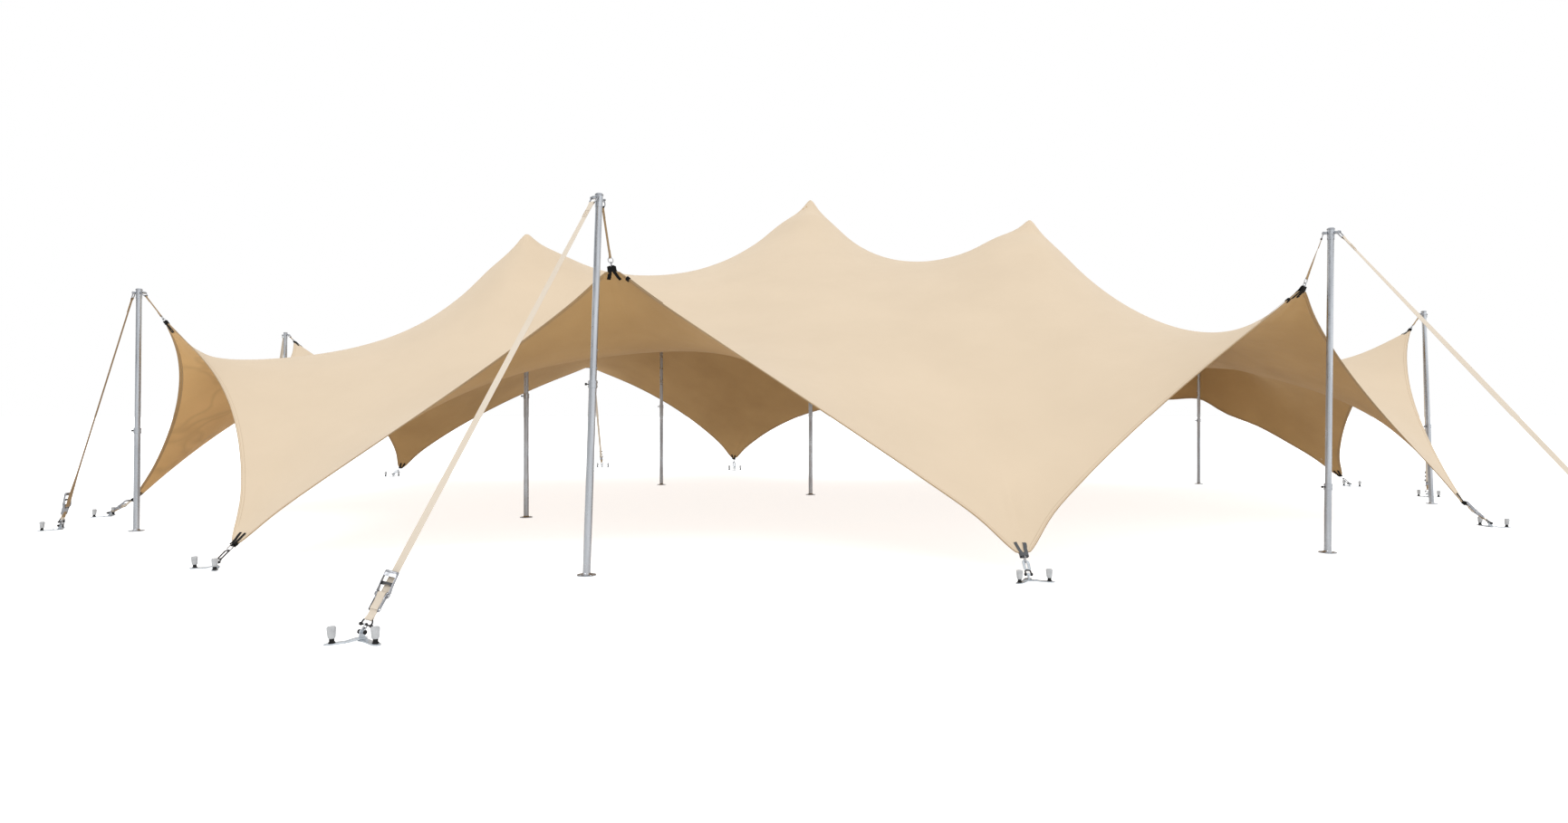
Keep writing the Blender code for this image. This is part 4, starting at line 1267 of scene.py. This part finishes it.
# %% Build the ties
PLATE_TIES = ("front", "back", "back_left")
PLATE_LINKS = [(0.062, 0.015, 0.0045, bright_steel), (0.100, 0.018, 0.0125, zinc)]
ROUND_LINKS = [(0.052, 0.017, 0.0042, bright_steel), (0.075, 0.018, 0.006, black_steel)]


def build_tie(name):
    """Fork, ring, oval link or plate link, and shackle down to the anchor's eye."""
    eye = anchor_eye(SHEET_ANCHORS[name])
    corner, _, across = corner_axes[name]
    pull = unit(eye - corner)
    plated = name in PLATE_TIES
    legs = grey_webbing if name == "front" else black_webbing
    shapes, apex = fork(name, pull, legs)
    reach = 0.045 if plated else 0.055
    shapes += clevis(eye, -pull, level_side(pull), reach, 0.020, 0.006, black_steel)
    links, plates = (PLATE_LINKS, [1]) if plated else (ROUND_LINKS, [])
    start, end = apex - pull * 0.004, eye - pull * (reach - 0.006)
    shapes += chain(start, end, np.cross(pull, across), links, plates)
    finishes = [legs, black_steel, bright_steel, zinc]
    make_piece("tie_" + name + "_fork", shapes, finishes, ["tie_" + name])


for tie_name in LOW_CORNERS:
    if tie_name not in RATCHET_TIES:
        build_tie(tie_name)

# %% [markdown]
# ## Ratchets
# A webbing ratchet is a small winch. The strap is wound on a spindle between two side plates, toothed wheels
# sit on the spindle's ends, and the handle's arms turn about it. All of it is cut plate and turned steel, so
# the helpers above make it from a few outlines. Every ratchet is worked out along its own strap: x runs up
# the strap, y along the spindle and z out of the strap's face.
# %% Ratchet sizes
FRAME_LENGTH = 0.090
PLATE_PLACE = 0.029
PLATE_THICKNESS = 0.0035
WHEEL_PLACE = 0.0335
WHEEL_TEETH = 11
WASHER_PLACE = 0.0408
BOLT_PLACE = 0.031
BASE_RISE = -0.0095
STRAP_WIDTH = 0.048


def ratchet_axes(along, side):
    """Directions along the strap, along the spindle and out of the strap's face, which is the upper one."""
    out = np.cross(along, side)
    return (along, -side, -out) if out[2] < 0 else (along, side, out)


def at(origin, axes, x, y, z):
    """Point of the ratchet: its origin plus x, y and z along its own directions."""
    return origin + axes[0] * x + axes[1] * y + axes[2] * z


def toothed_outline(radius, depth, teeth):
    """Wheel outline: radius falls by the depth over each tooth and jumps back."""
    turn = 2 * np.pi * np.arange(teeth * 4) / (teeth * 4)
    share = np.tile([0.0, 0.33, 0.66, 0.95], teeth)
    return (radius - depth * share)[:, None] * np.stack([np.cos(turn), np.sin(turn)], axis=1)


print("points of a wheel:", len(toothed_outline(0.0195, 0.0035, WHEEL_TEETH)))


# %% Frame, wheels and spindle
def ratchet_frame_shapes(origin, axes):
    """Side plates, base, bolt, wheels and the spindle with its end washers.

    Plates are outlines in x and z, set at their place along y; spindle and bolt are turned parts along y.
    """
    along, side, out = axes
    outline = softened([
        (-0.045, -0.0105), (-0.101, -0.0095), (-0.106, 0.0), (-0.101, 0.0095), (0.0, 0.0135),
        (0.016, 0.010), (0.0185, 0.0), (0.016, -0.010), (0.0, -0.0135), (-0.0451, -0.0105),
    ], 0.006, 4)
    wheel = toothed_outline(0.0195, 0.0035, WHEEL_TEETH)
    washer = [(0, 0.010), (0.0005, 0.0125), (0.0025, 0.0125), (0.0032, 0.0105), (0.0045, 0.006)]
    shapes = []
    for sign in (-1, 1):
        plate_spot, wheel_spot, washer_spot = [
            at(origin, axes, 0, sign * place, 0) for place in (PLATE_PLACE, WHEEL_PLACE, WASHER_PLACE)
        ]
        bolt_spot = at(origin, axes, -FRAME_LENGTH, sign * BOLT_PLACE, 0)
        shapes.append(cut_plate(outline, PLATE_THICKNESS, plate_spot, along, out, ratchet_steel))
        shapes.append(cut_plate(wheel, 0.003, wheel_spot, along, out, bright_steel, 0.0004))
        shapes.append(turned(washer_spot, side * sign, washer, bright_steel))
        shapes.append(hexagon_head(bolt_spot, side * sign, 0.0085, 0.006, bright_steel))
    spindle = [(0, 0.0075), (2 * WASHER_PLACE, 0.0075)]
    shapes.append(turned(at(origin, axes, 0, -WASHER_PLACE, 0), side, spindle, bright_steel))
    bolt = [(0, 0.006), (2 * BOLT_PLACE, 0.006)]
    shapes.append(turned(at(origin, axes, -FRAME_LENGTH, -BOLT_PLACE, 0), side, bolt, bright_steel))
    base = [(-0.078, -0.0275), (-0.030, -0.0275), (-0.030, 0.0275), (-0.078, 0.0275)]
    base_spot = at(origin, axes, 0, 0, BASE_RISE)
    shapes.append(cut_plate(base, 0.0025, base_spot, along, side, ratchet_steel, 0.0006))
    return shapes


world_axes = (x_way, y_way, UP)
tell("one ratchet's frame:", ratchet_frame_shapes(np.zeros(3), world_axes))

# %% The handle
ARM_PLACE = 0.038
ARM_THICKNESS = 0.0035
HANDLE_LENGTH = 0.135
GRIP_RISE = 0.020
CROSS_RISE = 0.0255
PAWL_BAR_RISE = 0.0045


def ratchet_handle(origin, axes):
    """Two shaped arms, the cross plate and rolled grip at their end, and the black bar of the pawl."""
    along, side, out = axes
    arm = softened([
        (0.055, 0.0005), (0.020, -0.0135), (-0.010, -0.013), (-0.0165, 0.0), (-0.010, 0.013), (0.020, 0.015),
        (0.055, 0.019), (0.125, 0.028), (0.138, 0.026), (0.139, 0.014), (0.125, 0.0115), (0.0551, 0.0005),
    ], 0.007, 4)
    shapes = []
    for sign in (-1, 1):
        spot = at(origin, axes, 0, sign * ARM_PLACE, 0)
        shapes.append(cut_plate(arm, ARM_THICKNESS, spot, along, out, ratchet_steel))
    grip = [(0, 0.0085), (0.003, 0.010), (0.073, 0.010), (0.076, 0.0085)]
    grip_spot = at(origin, axes, HANDLE_LENGTH - 0.004, -ARM_PLACE, GRIP_RISE)
    shapes.append(turned(grip_spot, side, grip, ratchet_steel))
    cross = [(0.103, -0.0365), (0.131, -0.0365), (0.131, 0.0365), (0.103, 0.0365)]
    cross_spot = at(origin, axes, 0, 0, CROSS_RISE)
    shapes.append(cut_plate(cross, 0.003, cross_spot, along, side, ratchet_steel, 0.0008))
    pawl_bar = softened([
        (0.054, -0.0362), (0.054, -0.020), (0.061, -0.014), (0.061, 0.014), (0.054, 0.020), (0.054, 0.0362),
        (0.074, 0.0362), (0.074, -0.0362),
    ], 0.004, 4)
    bar_spot = at(origin, axes, 0, 0, PAWL_BAR_RISE)
    shapes.append(cut_plate(pawl_bar, 0.004, bar_spot, along, side, black_steel, 0.001))
    return shapes


tell("one handle:", ratchet_handle(np.zeros(3), world_axes))

# %% Straps in and above the ratchet
WOUND_RADIUS = 0.0155
GUY_SEWN = 0.16
GUY_FLARE = 0.03
# Shares of the way down at which the strap has its first twist, its second one twice, and none
TWIST_SHARES = [0, 0.45, 0.86, 1]


def wound_strap(origin, axes, start):
    """Strap from its start down to the spindle and two and a half turns round it, each inside the last."""
    turns = np.linspace(0, 5 * np.pi, 60)[:, None]
    radius = WOUND_RADIUS - WEBBING_THICKNESS * 0.8 * turns / (2 * np.pi)
    coil = origin + radius * (-np.cos(turns) * axes[2] - np.sin(turns) * axes[0])
    return np.concatenate([start, coil])


def guy_strap(high_bar, origin, axes, radius, twists, finish):
    """Strap with its sewn end, round the shackle's bar, then down on to the spindle.

    Its side is the spindle's direction, turned by the first twist at the head, by the second from halfway
    down to near the ratchet, and by nothing at the ratchet; in between the angle changes evenly.
    """
    along, side, out = axes
    head_side = turned_about(side, along, twists[0])
    head_out = np.cross(along, head_side)
    layer = head_out * WEBBING_THICKNESS * LAYER_STEP
    head = np.concatenate([
        [high_bar - along * GUY_SEWN + layer, high_bar - along * GUY_FLARE + layer],
        half_turn(high_bar, along, head_out, radius + WEBBING_THICKNESS / 2, 1),
        [high_bar - along * GUY_FLARE],
    ])
    share = np.linspace(0, 1, 16)[:, None]
    run = (high_bar - along * 0.17) * (1 - share) + (origin + along * 0.10 - out * 0.0105) * share
    angles = np.interp(share, TWIST_SHARES, [twists[0], twists[1], twists[1], 0.0])
    run_sides = np.cos(angles) * side + np.sin(angles) * np.cross(along, side)
    path = wound_strap(origin, axes, np.concatenate([head, run]))
    wound = np.tile(side, (len(path) - len(head) - len(run), 1))
    sides = np.concatenate([np.tile(head_side, (len(head), 1)), run_sides, wound])
    return carried(path, strap_profile(STRAP_WIDTH, WEBBING_THICKNESS), sides, finish), head_side, head_out


def lower_strap(bar, origin, axes):
    """Short strap from the shackle's bar to the ratchet's bolt, with a tan patch under it."""
    bolt = origin - axes[0] * FRAME_LENGTH
    overlaps = (0.045, 0.04)
    shapes = sewn_strap(bar, bolt, (0.006, 0.006), axes[1], 0.046, WEBBING_THICKNESS, overlaps, cream_webbing)
    inner = bar + axes[0] * 0.022 - axes[2] * 0.0135
    outer = bar + axes[0] * 0.085 - axes[2] * 0.0105
    shapes.append(carried(np.linspace(inner, outer, 4), strap_profile(0.034, 0.0028), axes[1], tan_webbing))
    return shapes


def tail(origin, axes):
    """Loose end of the strap, laid over the base from the spindle to the bolt."""
    points = [
        (0.004, 0.0170), (-0.012, 0.0130), (-0.030, 0.0075),
        (-0.060, 0.0068), (-0.080, 0.0090), (-0.096, 0.0105),
    ]
    path = softened([at(origin, axes, x, 0, z) for x, z in points], 0.010, 5)
    return [carried(path, strap_profile(STRAP_WIDTH, WEBBING_THICKNESS), axes[1], cream_webbing)]


tell("one loose end:", tail(np.zeros(3), world_axes))

# %% [markdown]
# ## Guys and ratchet ties
# A guy runs from a shackle on the pole's head down to its ratchet, and from there a short strap, a shackle
# and a small link hold it to the anchor. A ratchet tie is the same without the long strap: its fork comes
# straight out of the sheet's corner. Where the handle turns it is a piece on a body of its own, and where it
# is fixed it is a part of the winch.
# %% Build the guys
GUY_SPINDLE_REACH = 0.232
GUY_SHACKLE = 0.060
GUY_SHACKLE_WIRE = 0.0055
WINCH_FINISHES = [ratchet_steel, bright_steel, cream_webbing, tan_webbing, thread, black_steel]


def add_handle(name, body_name, origin, axes):
    """A handle as a piece of its own, riding on the body that turns it."""
    finishes = [ratchet_steel, black_steel]
    make_piece(name, ratchet_handle(origin, axes), finishes, [body_name], body_name)


def build_guy(name):
    """Long strap with its shackle, then ratchet, lower strap, shackle and link down to the anchor's eye."""
    place = name[5:]
    low = anchor_eye(GUY_ANCHORS[name])
    high = head_eye(name, GUY_ANCHORS[name])
    along = unit(high - low)
    axes = ratchet_axes(along, turned_about(level_side(along), along, GUY_TWISTS.get(name, 0.0)))
    origin = low + along * GUY_SPINDLE_REACH
    bar = high - along * GUY_SHACKLE
    shade = tan_webbing if name == "pole_left" else cream_webbing
    twists = STRAP_TWISTS.get(name, (0.0, 0.0))
    webbing, head_side, head_out = guy_strap(bar, origin, axes, GUY_SHACKLE_WIRE, twists, shade)
    seam = bar - along * 0.12 + head_out * 0.0052
    strap = [webbing, *stitched_box(seam, along, head_side, STRAP_WIDTH, 0.14)]
    strap += clevis(high, -along, head_side, GUY_SHACKLE, 0.031, GUY_SHACKLE_WIRE, ratchet_steel)
    strap_finishes = [shade, thread, ratchet_steel]
    make_piece("guy_strap_" + place + "_webbing", strap, strap_finishes, ["guy_strap_" + place])
    shapes = ratchet_frame_shapes(origin, axes) + tail(origin, axes)
    shapes += lower_strap(low + along * 0.078, origin, axes)
    level = level_side(along)
    shapes += clevis(low, along, level, 0.026, 0.014, 0.004, bright_steel)
    quarter = np.cross(along, level)
    shapes.append(oval_link(low + along * 0.035, along, quarter, 0.017, 0.011, 0.004, bright_steel))
    shapes += clevis(low + along * 0.043, along, axes[1], 0.035, 0.030, 0.005, black_steel)
    if name in TURNING_GUYS:
        add_handle("ratchet_handle_" + place + "_steel", "ratchet_handle_" + place, origin, axes)
    else:
        shapes += ratchet_handle(origin, axes)
    winch = "ratchet_" + place
    make_piece(winch + "_winch", shapes, WINCH_FINISHES, [winch])


for pole_name in EDGE_POLES:
    build_guy(pole_name)

# %% Build the ratchet ties
TIE_SPINDLE_REACH = 0.200
TIE_SHACKLE = 0.055


def build_ratchet_tie(name):
    """Fork and wound strap from the sheet's corner, then ratchet, lower strap and shackle to the anchor."""
    low = anchor_eye(SHEET_ANCHORS[name])
    corner = corner_axes[name][0]
    pull = unit(low - corner)
    axes = ratchet_axes(-pull, level_side(pull))
    origin = low - pull * TIE_SPINDLE_REACH
    fork_shapes, apex = fork(name, pull, black_webbing)
    bar = apex + pull * 0.010
    path = wound_strap(origin, axes, np.concatenate([
        half_turn(bar, -pull, axes[2], 0.008, 1),
        [bar + pull * 0.03, origin + axes[0] * 0.06 - axes[2] * 0.012],
    ]))
    strap = fork_shapes + [carried(path, strap_profile(0.044, WEBBING_THICKNESS), axes[1], cream_webbing)]
    strap.append(turned(bar - axes[1] * 0.03, axes[1], [(0, 0.005), (0.06, 0.005)], black_steel))
    finishes = [black_webbing, cream_webbing, black_steel]
    make_piece("tie_" + name + "_webbing", strap, finishes, ["tie_" + name])
    shapes = ratchet_frame_shapes(origin, axes) + tail(origin, axes)
    shapes += lower_strap(low - pull * TIE_SHACKLE, origin, axes)
    shapes += clevis(low, -pull, axes[1], TIE_SHACKLE, 0.030, 0.0055, black_steel)
    winch = "tie_ratchet_" + name
    make_piece(winch + "_winch", shapes, WINCH_FINISHES, [winch])
    handle = "tie_ratchet_handle_" + name
    add_handle(handle + "_steel", handle, origin, axes)


for tie_name in RATCHET_TIES:
    build_ratchet_tie(tie_name)

# %% [markdown]
# ## Ground anchors
# Two forged arms overlap in a V. A stake is driven through each outer end, and what shows of it is a black
# neck and a light ribbed cap. A lug with a pin stands where the arms meet. An arm is a slab carried along its
# own length, so its width and thickness are two lists of shares, and a cap is a turned part whose section has
# waves in it.
# %% Arms of an anchor
ARM_BEND = math.radians(38)
ARM_HALF_WIDTH = 0.027
ARM_HALF_THICKNESS = 0.0045
ARM_SQUARENESS = 0.35


def arm_shape(centre, outward, on_top):
    """Arm: rounded slab carried outwards, its width swelling and tapering to a point at each end.

    Slab: a circle whose cosine and sine are raised to a low power, which squares it. The arm on top comes
    down to the ground just past the middle, along a smooth step.
    """
    run = np.array([-0.030, -0.026, -0.018, 0.0, 0.03, 0.08, 0.12, 0.155, 0.177, 0.191, 0.198, 0.200])
    wide = np.array([0.10, 0.35, 0.68, 1.0, 0.90, 0.80, 0.88, 0.96, 0.80, 0.48, 0.20, 0.06])
    drop = np.clip((run - 0.030) / 0.05, 0, 1)
    base = 0.0142 - 0.0092 * (drop**2 * (3 - 2 * drop)) if on_top else np.full(len(run), 0.005)
    path = centre + run[:, None] * outward + base[:, None] * UP
    thick = np.clip(wide * 1.6, 0.25, 1.0)
    turn = 2 * np.pi * np.arange(16) / 16
    circle = np.stack([np.cos(turn), np.sin(turn)], axis=1)
    slab = np.sign(circle) * np.abs(circle) ** ARM_SQUARENESS
    scale = np.stack([wide * ARM_HALF_WIDTH, thick * ARM_HALF_THICKNESS], axis=1)
    return carried(path, slab, np.cross(UP, outward), zinc, scale=scale)


tell("one arm:", [arm_shape(np.zeros(3), x_way, True)])


# %% Stakes with ribbed caps
STAKE_REACH = 0.155
STAKE_LEAN = 0.03
PLATE_TOP = 0.009
CAP_RIBS = 16
RIB_DEPTH = 0.09


def ribbed_circle(ribs, depth):
    """Circle of radius one whose radius dips by the depth between ribs, as a cosine."""
    turn = 2 * np.pi * np.arange(ribs * 4) / (ribs * 4)
    radius = 1 - depth * (0.5 - 0.5 * np.cos(ribs * turn))
    return radius[:, None] * np.stack([np.cos(turn), np.sin(turn)], axis=1)


def stake_shapes(foot, lean):
    """Black neck with a collar, and the light cap: ribbed on its side, smooth and domed on top."""
    axis = unit(UP + lean)
    neck = [(0.0, 0.0175), (0.003, 0.0185), (0.006, 0.0180), (0.008, 0.0140), (0.036, 0.0140)]
    cap = [
        (0.0335, 0.0135), (0.036, 0.0180), (0.044, 0.0210), (0.090, 0.0248), (0.096, 0.0245), (0.0985, 0.0220)
    ]
    lid = [(0.0982, 0.0222), (0.1005, 0.0208), (0.1015, 0.0172), (0.1012, 0.0140), (0.0995, 0.0125)]
    return [
        turned(foot + UP * PLATE_TOP, axis, neck, black_rubber),
        turned(foot, axis, cap, cap_plastic, profile=ribbed_circle(CAP_RIBS, RIB_DEPTH)),
        turned(foot, axis, lid, cap_plastic, 28),
    ]


tell("one stake:", stake_shapes(np.zeros(3), np.zeros(3)))


# %% Build the anchors
BOLT_REACH = 0.060
LUG_HALF_WIDTH = 0.020


def build_anchor(name, plan, towards):
    """Two arms with their stakes and bolts, and in the middle a lug with a pin and two dark ends.

    An arm's direction is the side, turned away from the pull by the bend: cosine * side - sine * pull.
    """
    centre = np.array([*plan, 0.0])
    pull = unit(np.array([towards[0] - plan[0], towards[1] - plan[1], 0.0]))
    side = level_side(pull)
    shapes = []
    for sign in (-1, 1):
        outward = unit(side * sign * math.cos(ARM_BEND) - pull * math.sin(ARM_BEND))
        outward = turned_about(outward, UP, ANCHOR_TURNS.get(name, 0.0))
        shapes.append(arm_shape(centre, outward, sign > 0))
        shapes += stake_shapes(centre + outward * STAKE_REACH, outward * STAKE_LEAN * sign)
        bolt = centre + outward * BOLT_REACH + UP * PLATE_TOP
        shapes.append(hexagon_head(bolt, UP, 0.008, 0.006, zinc))
    eye = centre + UP * ANCHOR_EYE_HEIGHT
    lug = softened([
        (-0.018, 0.010), (-0.017, 0.030), (-0.014, 0.060), (0.014, 0.060), (0.017, 0.030), (0.018, 0.010)
    ], 0.012, 5)
    shapes.append(cut_plate(lug, 0.010, centre, pull, UP, zinc))
    pin = [(0, 0.0075), (2 * LUG_HALF_WIDTH, 0.0075)]
    shapes.append(turned(eye - side * LUG_HALF_WIDTH, side, pin, zinc))
    head = [(0.0, 0.0115), (0.0015, 0.0130), (0.0055, 0.0130), (0.0080, 0.0100)]
    for sign in (-1, 1):
        shapes.append(turned(eye + side * sign * LUG_HALF_WIDTH, side * sign, head, black_rubber, 18))
    finishes = [zinc, black_rubber, cap_plastic]
    make_piece(name + "_forging", shapes, finishes, [name])


for pole_name, plan in GUY_ANCHORS.items():
    build_anchor("guy_anchor_" + pole_name[5:], plan, EDGE_POLES[pole_name][1])
for corner_name, plan in SHEET_ANCHORS.items():
    build_anchor("sheet_anchor_" + corner_name, plan, LOW_CORNERS[corner_name])

# %% [markdown]
# ## Poles
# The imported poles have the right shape, so it is kept. But each of their triangles stands alone and would
# shade flat. So the triangles are joined at equal corners, and then a tube shades round. They get the finish
# of drawn aluminium. Small parts are added: a weld and bolts at the foot, clamp rings with a screw at the
# joint, spring buttons above it, and a ring and bolts at the head of an edge pole.
# %% Fittings of a pole
# Turned parts: distance along the part's axis, and radius there
WELD = [(0.0, 0.042), (0.002, 0.0415), (0.006, 0.036), (0.012, 0.0312), (0.014, 0.0300)]
CLAMP_RING = [(0.0, 0.0342), (0.001, 0.0365), (0.014, 0.0365), (0.015, 0.0342)]
CLAMP_SCREW = [(0.032, 0.005), (0.048, 0.005), (0.0485, 0.010), (0.060, 0.0105), (0.062, 0.008)]
BUTTON = [(0.0, 0.005), (0.004, 0.005), (0.0055, 0.0035)]
HEAD_RING = [(0, 0.0302), (0.001, 0.0335), (0.010, 0.0335), (0.011, 0.0302)]
FOOT_TOP = 0.008
FOOT_BOLT_REACH = 0.056
CLAMP_LIFTS = (0.006, 0.040)
SCREW_LIFT = 0.030
BUTTON_LIFTS = (0.16, 0.30)
BUTTON_DEPTH = 0.026
HEAD_RING_DROP = 0.018
HEAD_BOLT_DROP = 0.060
HEAD_BOLT_REACH = 0.028


def pole_point(foot, head, height):
    """Point on the pole's axis at a height: foot plus the axis's step for each metre up, times the height."""
    foot, head = np.array([*foot, 0.0]), np.asarray(head, dtype=float)
    lean = (head - foot) / head[2]
    return foot + lean * height


def foot_shapes(foot, head, axis):
    """Weld round the tube on the foot disc, and four bolts on a square round it."""
    middle = pole_point(foot, head, FOOT_TOP)
    shapes = [turned(middle, axis, WELD, bright_steel, 28)]
    for number in range(4):
        angle = math.pi * (0.25 + 0.5 * number)
        spot = middle + FOOT_BOLT_REACH * (math.cos(angle) * x_way + math.sin(angle) * y_way)
        shapes.append(hexagon_head(spot, UP, 0.007, 0.004, zinc))
    return shapes


def joint_shapes(foot, head, axis, across, height):
    """Two clamp rings and a screw at the joint, and the spring buttons above it."""
    shapes = []
    for lift in CLAMP_LIFTS:
        shapes.append(turned(pole_point(foot, head, height + lift), axis, CLAMP_RING, aluminium, 28))
    screw = pole_point(foot, head, height + SCREW_LIFT)
    shapes.append(turned(screw, across, CLAMP_SCREW, black_steel, 10))
    for lift in BUTTON_LIFTS:
        spot = pole_point(foot, head, height + lift)
        shapes.append(turned(spot - across * BUTTON_DEPTH, -across, BUTTON, bright_steel, 10))
    return shapes


def head_shapes(head, axis, forward):
    """Ring at the top of an edge pole, and a bolt in front of it and behind it."""
    top = np.asarray(head, dtype=float)
    shapes = [turned(top - axis * HEAD_RING_DROP, axis, HEAD_RING, ratchet_steel, 28)]
    for sign in (-1, 1):
        bolt = top - axis * HEAD_BOLT_DROP + forward * sign * HEAD_BOLT_REACH
        shapes.append(hexagon_head(bolt, forward * sign, 0.008, 0.007, bright_steel))
    return shapes


tell("one pole's foot:", foot_shapes((0, 0), (0, 0, 3), UP))

# %% Dress the poles
INNER_JOINT_SHARE = 0.42


def build_pole_fittings(name, foot, head, joint_height, edge):
    """All the fittings of a pole; its axis goes from the foot to the head, and forward is square to it."""
    axis = unit(np.asarray(head, dtype=float) - np.array([*foot, 0.0]))
    across = unit(np.cross(axis, [0.0, 1.0, 0.0]))
    forward = np.cross(across, axis)
    shapes = foot_shapes(foot, head, axis) + joint_shapes(foot, head, axis, across, joint_height)
    if edge:
        shapes += head_shapes(head, axis, forward)
    finishes = [bright_steel, zinc, aluminium, black_steel, ratchet_steel]
    make_piece(name + "_fittings", shapes, finishes)


for pole_name, (foot_plan, head_place, joint_at) in EDGE_POLES.items():
    build_pole_fittings(pole_name, foot_plan, head_place, joint_at, True)
for pole_name, (x, y, top, _, _) in INNER_POLES.items():
    build_pole_fittings(pole_name, (x, y), (x, y, top), top * INNER_JOINT_SHARE, False)


# %% Round the poles
def round_pole(name):
    """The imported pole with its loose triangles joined: equal corners become one, so the tube shades round."""
    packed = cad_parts[name].data
    places = np.empty(len(packed.vertices) * 3)
    packed.vertices.foreach_get("co", places)
    order = np.empty(len(packed.loops), dtype=int)
    packed.loops.foreach_get("vertex_index", order)
    points, shared = np.unique(places.reshape(-1, 3).round(5), axis=0, return_inverse=True)
    mesh = bpy.data.meshes.new(name + "_tube")
    mesh.from_pydata(points.tolist(), [], shared.ravel()[order].reshape(-1, 3).tolist())
    mesh.materials.append(aluminium)
    return finished(name + "_tube", mesh, points[:, [0, 2]], [name], "tent")


for pole_name in [*EDGE_POLES, *INNER_POLES]:
    tube = round_pole(pole_name)
    print(tube.name, "has", len(tube.data.vertices), "points")

# %% [markdown]
# ## Floor
# A plain pale floor, as in a product picture. It glows a little, so that it looks white, but a floor that
# bright would also light the sheet from below and wash out its warm underside. So it has two glows: a strong
# one for the eye, and a weak one for the light that it sends up.
# %% Build the floor
FLOOR_HALF = 200.0
FLOOR_PAINT = (0.62, 0.62, 0.62, 1)
FLOOR_GLOW = 0.30
FLOOR_SEEN_GLOW = 0.80
WHITE = (1, 1, 1, 1)


def build_floor():
    """One large square on the ground, its glow mixed by whether the eye or the light meets it."""
    mesh = bpy.data.meshes.new("floor")
    corners = [(x * FLOOR_HALF, y * FLOOR_HALF, 0) for x, y in ((-1, -1), (1, -1), (1, 1), (-1, 1))]
    mesh.from_pydata(corners, [], [(0, 1, 2, 3)])
    made, shader = new_finish("floor_paint", 0.0, 0.9)
    shader.inputs["Base Color"].default_value = FLOOR_PAINT
    shader.inputs["Emission Color"].default_value = WHITE
    seen = add_node(made, "ShaderNodeLightPath").outputs["Is Camera Ray"]
    glow = mapped(made, seen, {"To Min": FLOOR_GLOW, "To Max": FLOOR_SEEN_GLOW})
    join(made, glow, shader.inputs["Emission Strength"])
    mesh.materials.append(made)
    floor = bpy.data.objects.new("floor", mesh)
    bpy.context.scene.collection.objects.link(floor)


build_floor()
print("floor:", 2 * FLOOR_HALF, "m wide")

# %% [markdown]
# ## Light
# The surround is white to the eye. As a light it is stronger on the right than on the left, which gives every
# tube a dark left edge and a bright right one, and even at the back. One soft lamp from the upper left
# gives the sheet its gentle shading.
# %% White surround
SIDE_LIMITS = {"From Min": -0.9, "From Max": 0.5, "To Min": 0.40, "To Max": 1.40}
BACK_LIMITS = {"From Min": -0.25, "From Max": 0.15, "To Max": 1.0}


def build_surround():
    """Strength: grows from left to right with x, goes to one towards +y, and is one where the eye sees it."""
    world = bpy.data.worlds.new("white_surround")
    world.use_nodes = True
    background = world.node_tree.nodes["Background"]
    background.inputs["Color"].default_value = WHITE
    heading = add_node(world, "ShaderNodeSeparateXYZ")
    join(world, add_node(world, "ShaderNodeTexCoord").outputs["Generated"], heading.inputs["Vector"])
    side_light = mapped(world, heading.outputs["X"], SIDE_LIMITS)
    far_light = add_node(world, "ShaderNodeMapRange", BACK_LIMITS)
    join(world, heading.outputs["Y"], far_light.inputs["Value"])
    join(world, side_light, far_light.inputs["To Min"])
    seen_light = add_node(world, "ShaderNodeMapRange", {"To Max": 1.0})
    join(world, add_node(world, "ShaderNodeLightPath").outputs["Is Camera Ray"], seen_light.inputs["Value"])
    join(world, far_light.outputs["Result"], seen_light.inputs["To Min"])
    join(world, seen_light.outputs["Result"], background.inputs["Strength"])
    bpy.context.scene.world = world
    return world


print("nodes of the surround:", len(build_surround().node_tree.nodes))

# %% Soft lamp
LAMP_STRENGTH = 1.0
LAMP_SPREAD = math.radians(25)
LAMP_TURN = (math.radians(35), math.radians(-25), 0)
lamp_data = bpy.data.lights.new("soft_lamp", "SUN")
lamp_data.energy = LAMP_STRENGTH
lamp_data.angle = LAMP_SPREAD
lamp = bpy.data.objects.new("soft_lamp", lamp_data)
lamp.rotation_euler = LAMP_TURN
bpy.context.scene.collection.objects.link(lamp)
bpy.context.scene.view_settings.view_transform = "Standard"
print("lamp:", lamp_data.energy, "strong")

# %% [markdown]
# ## Camera
# The eye stands in front of the tent, at 1.29 m above the ground, and looks level along y. The picture is a
# little wider than 80 degrees, so the near anchors look large beside the far ones.
# %% Set up the camera
EYE_PLACE = (-0.15, -12.95, 1.287)
LENS = 20.8
SENSOR_WIDTH = 36
camera_data = bpy.data.cameras.new("camera")
camera_data.lens = LENS
camera_data.sensor_width = SENSOR_WIDTH
camera = bpy.data.objects.new("camera", camera_data)
camera.location = EYE_PLACE
camera.rotation_euler = (math.radians(90), 0, 0)
bpy.context.scene.collection.objects.link(camera)
bpy.context.scene.camera = camera
print("the picture is", round(math.degrees(camera_data.angle), 1), "degrees wide")
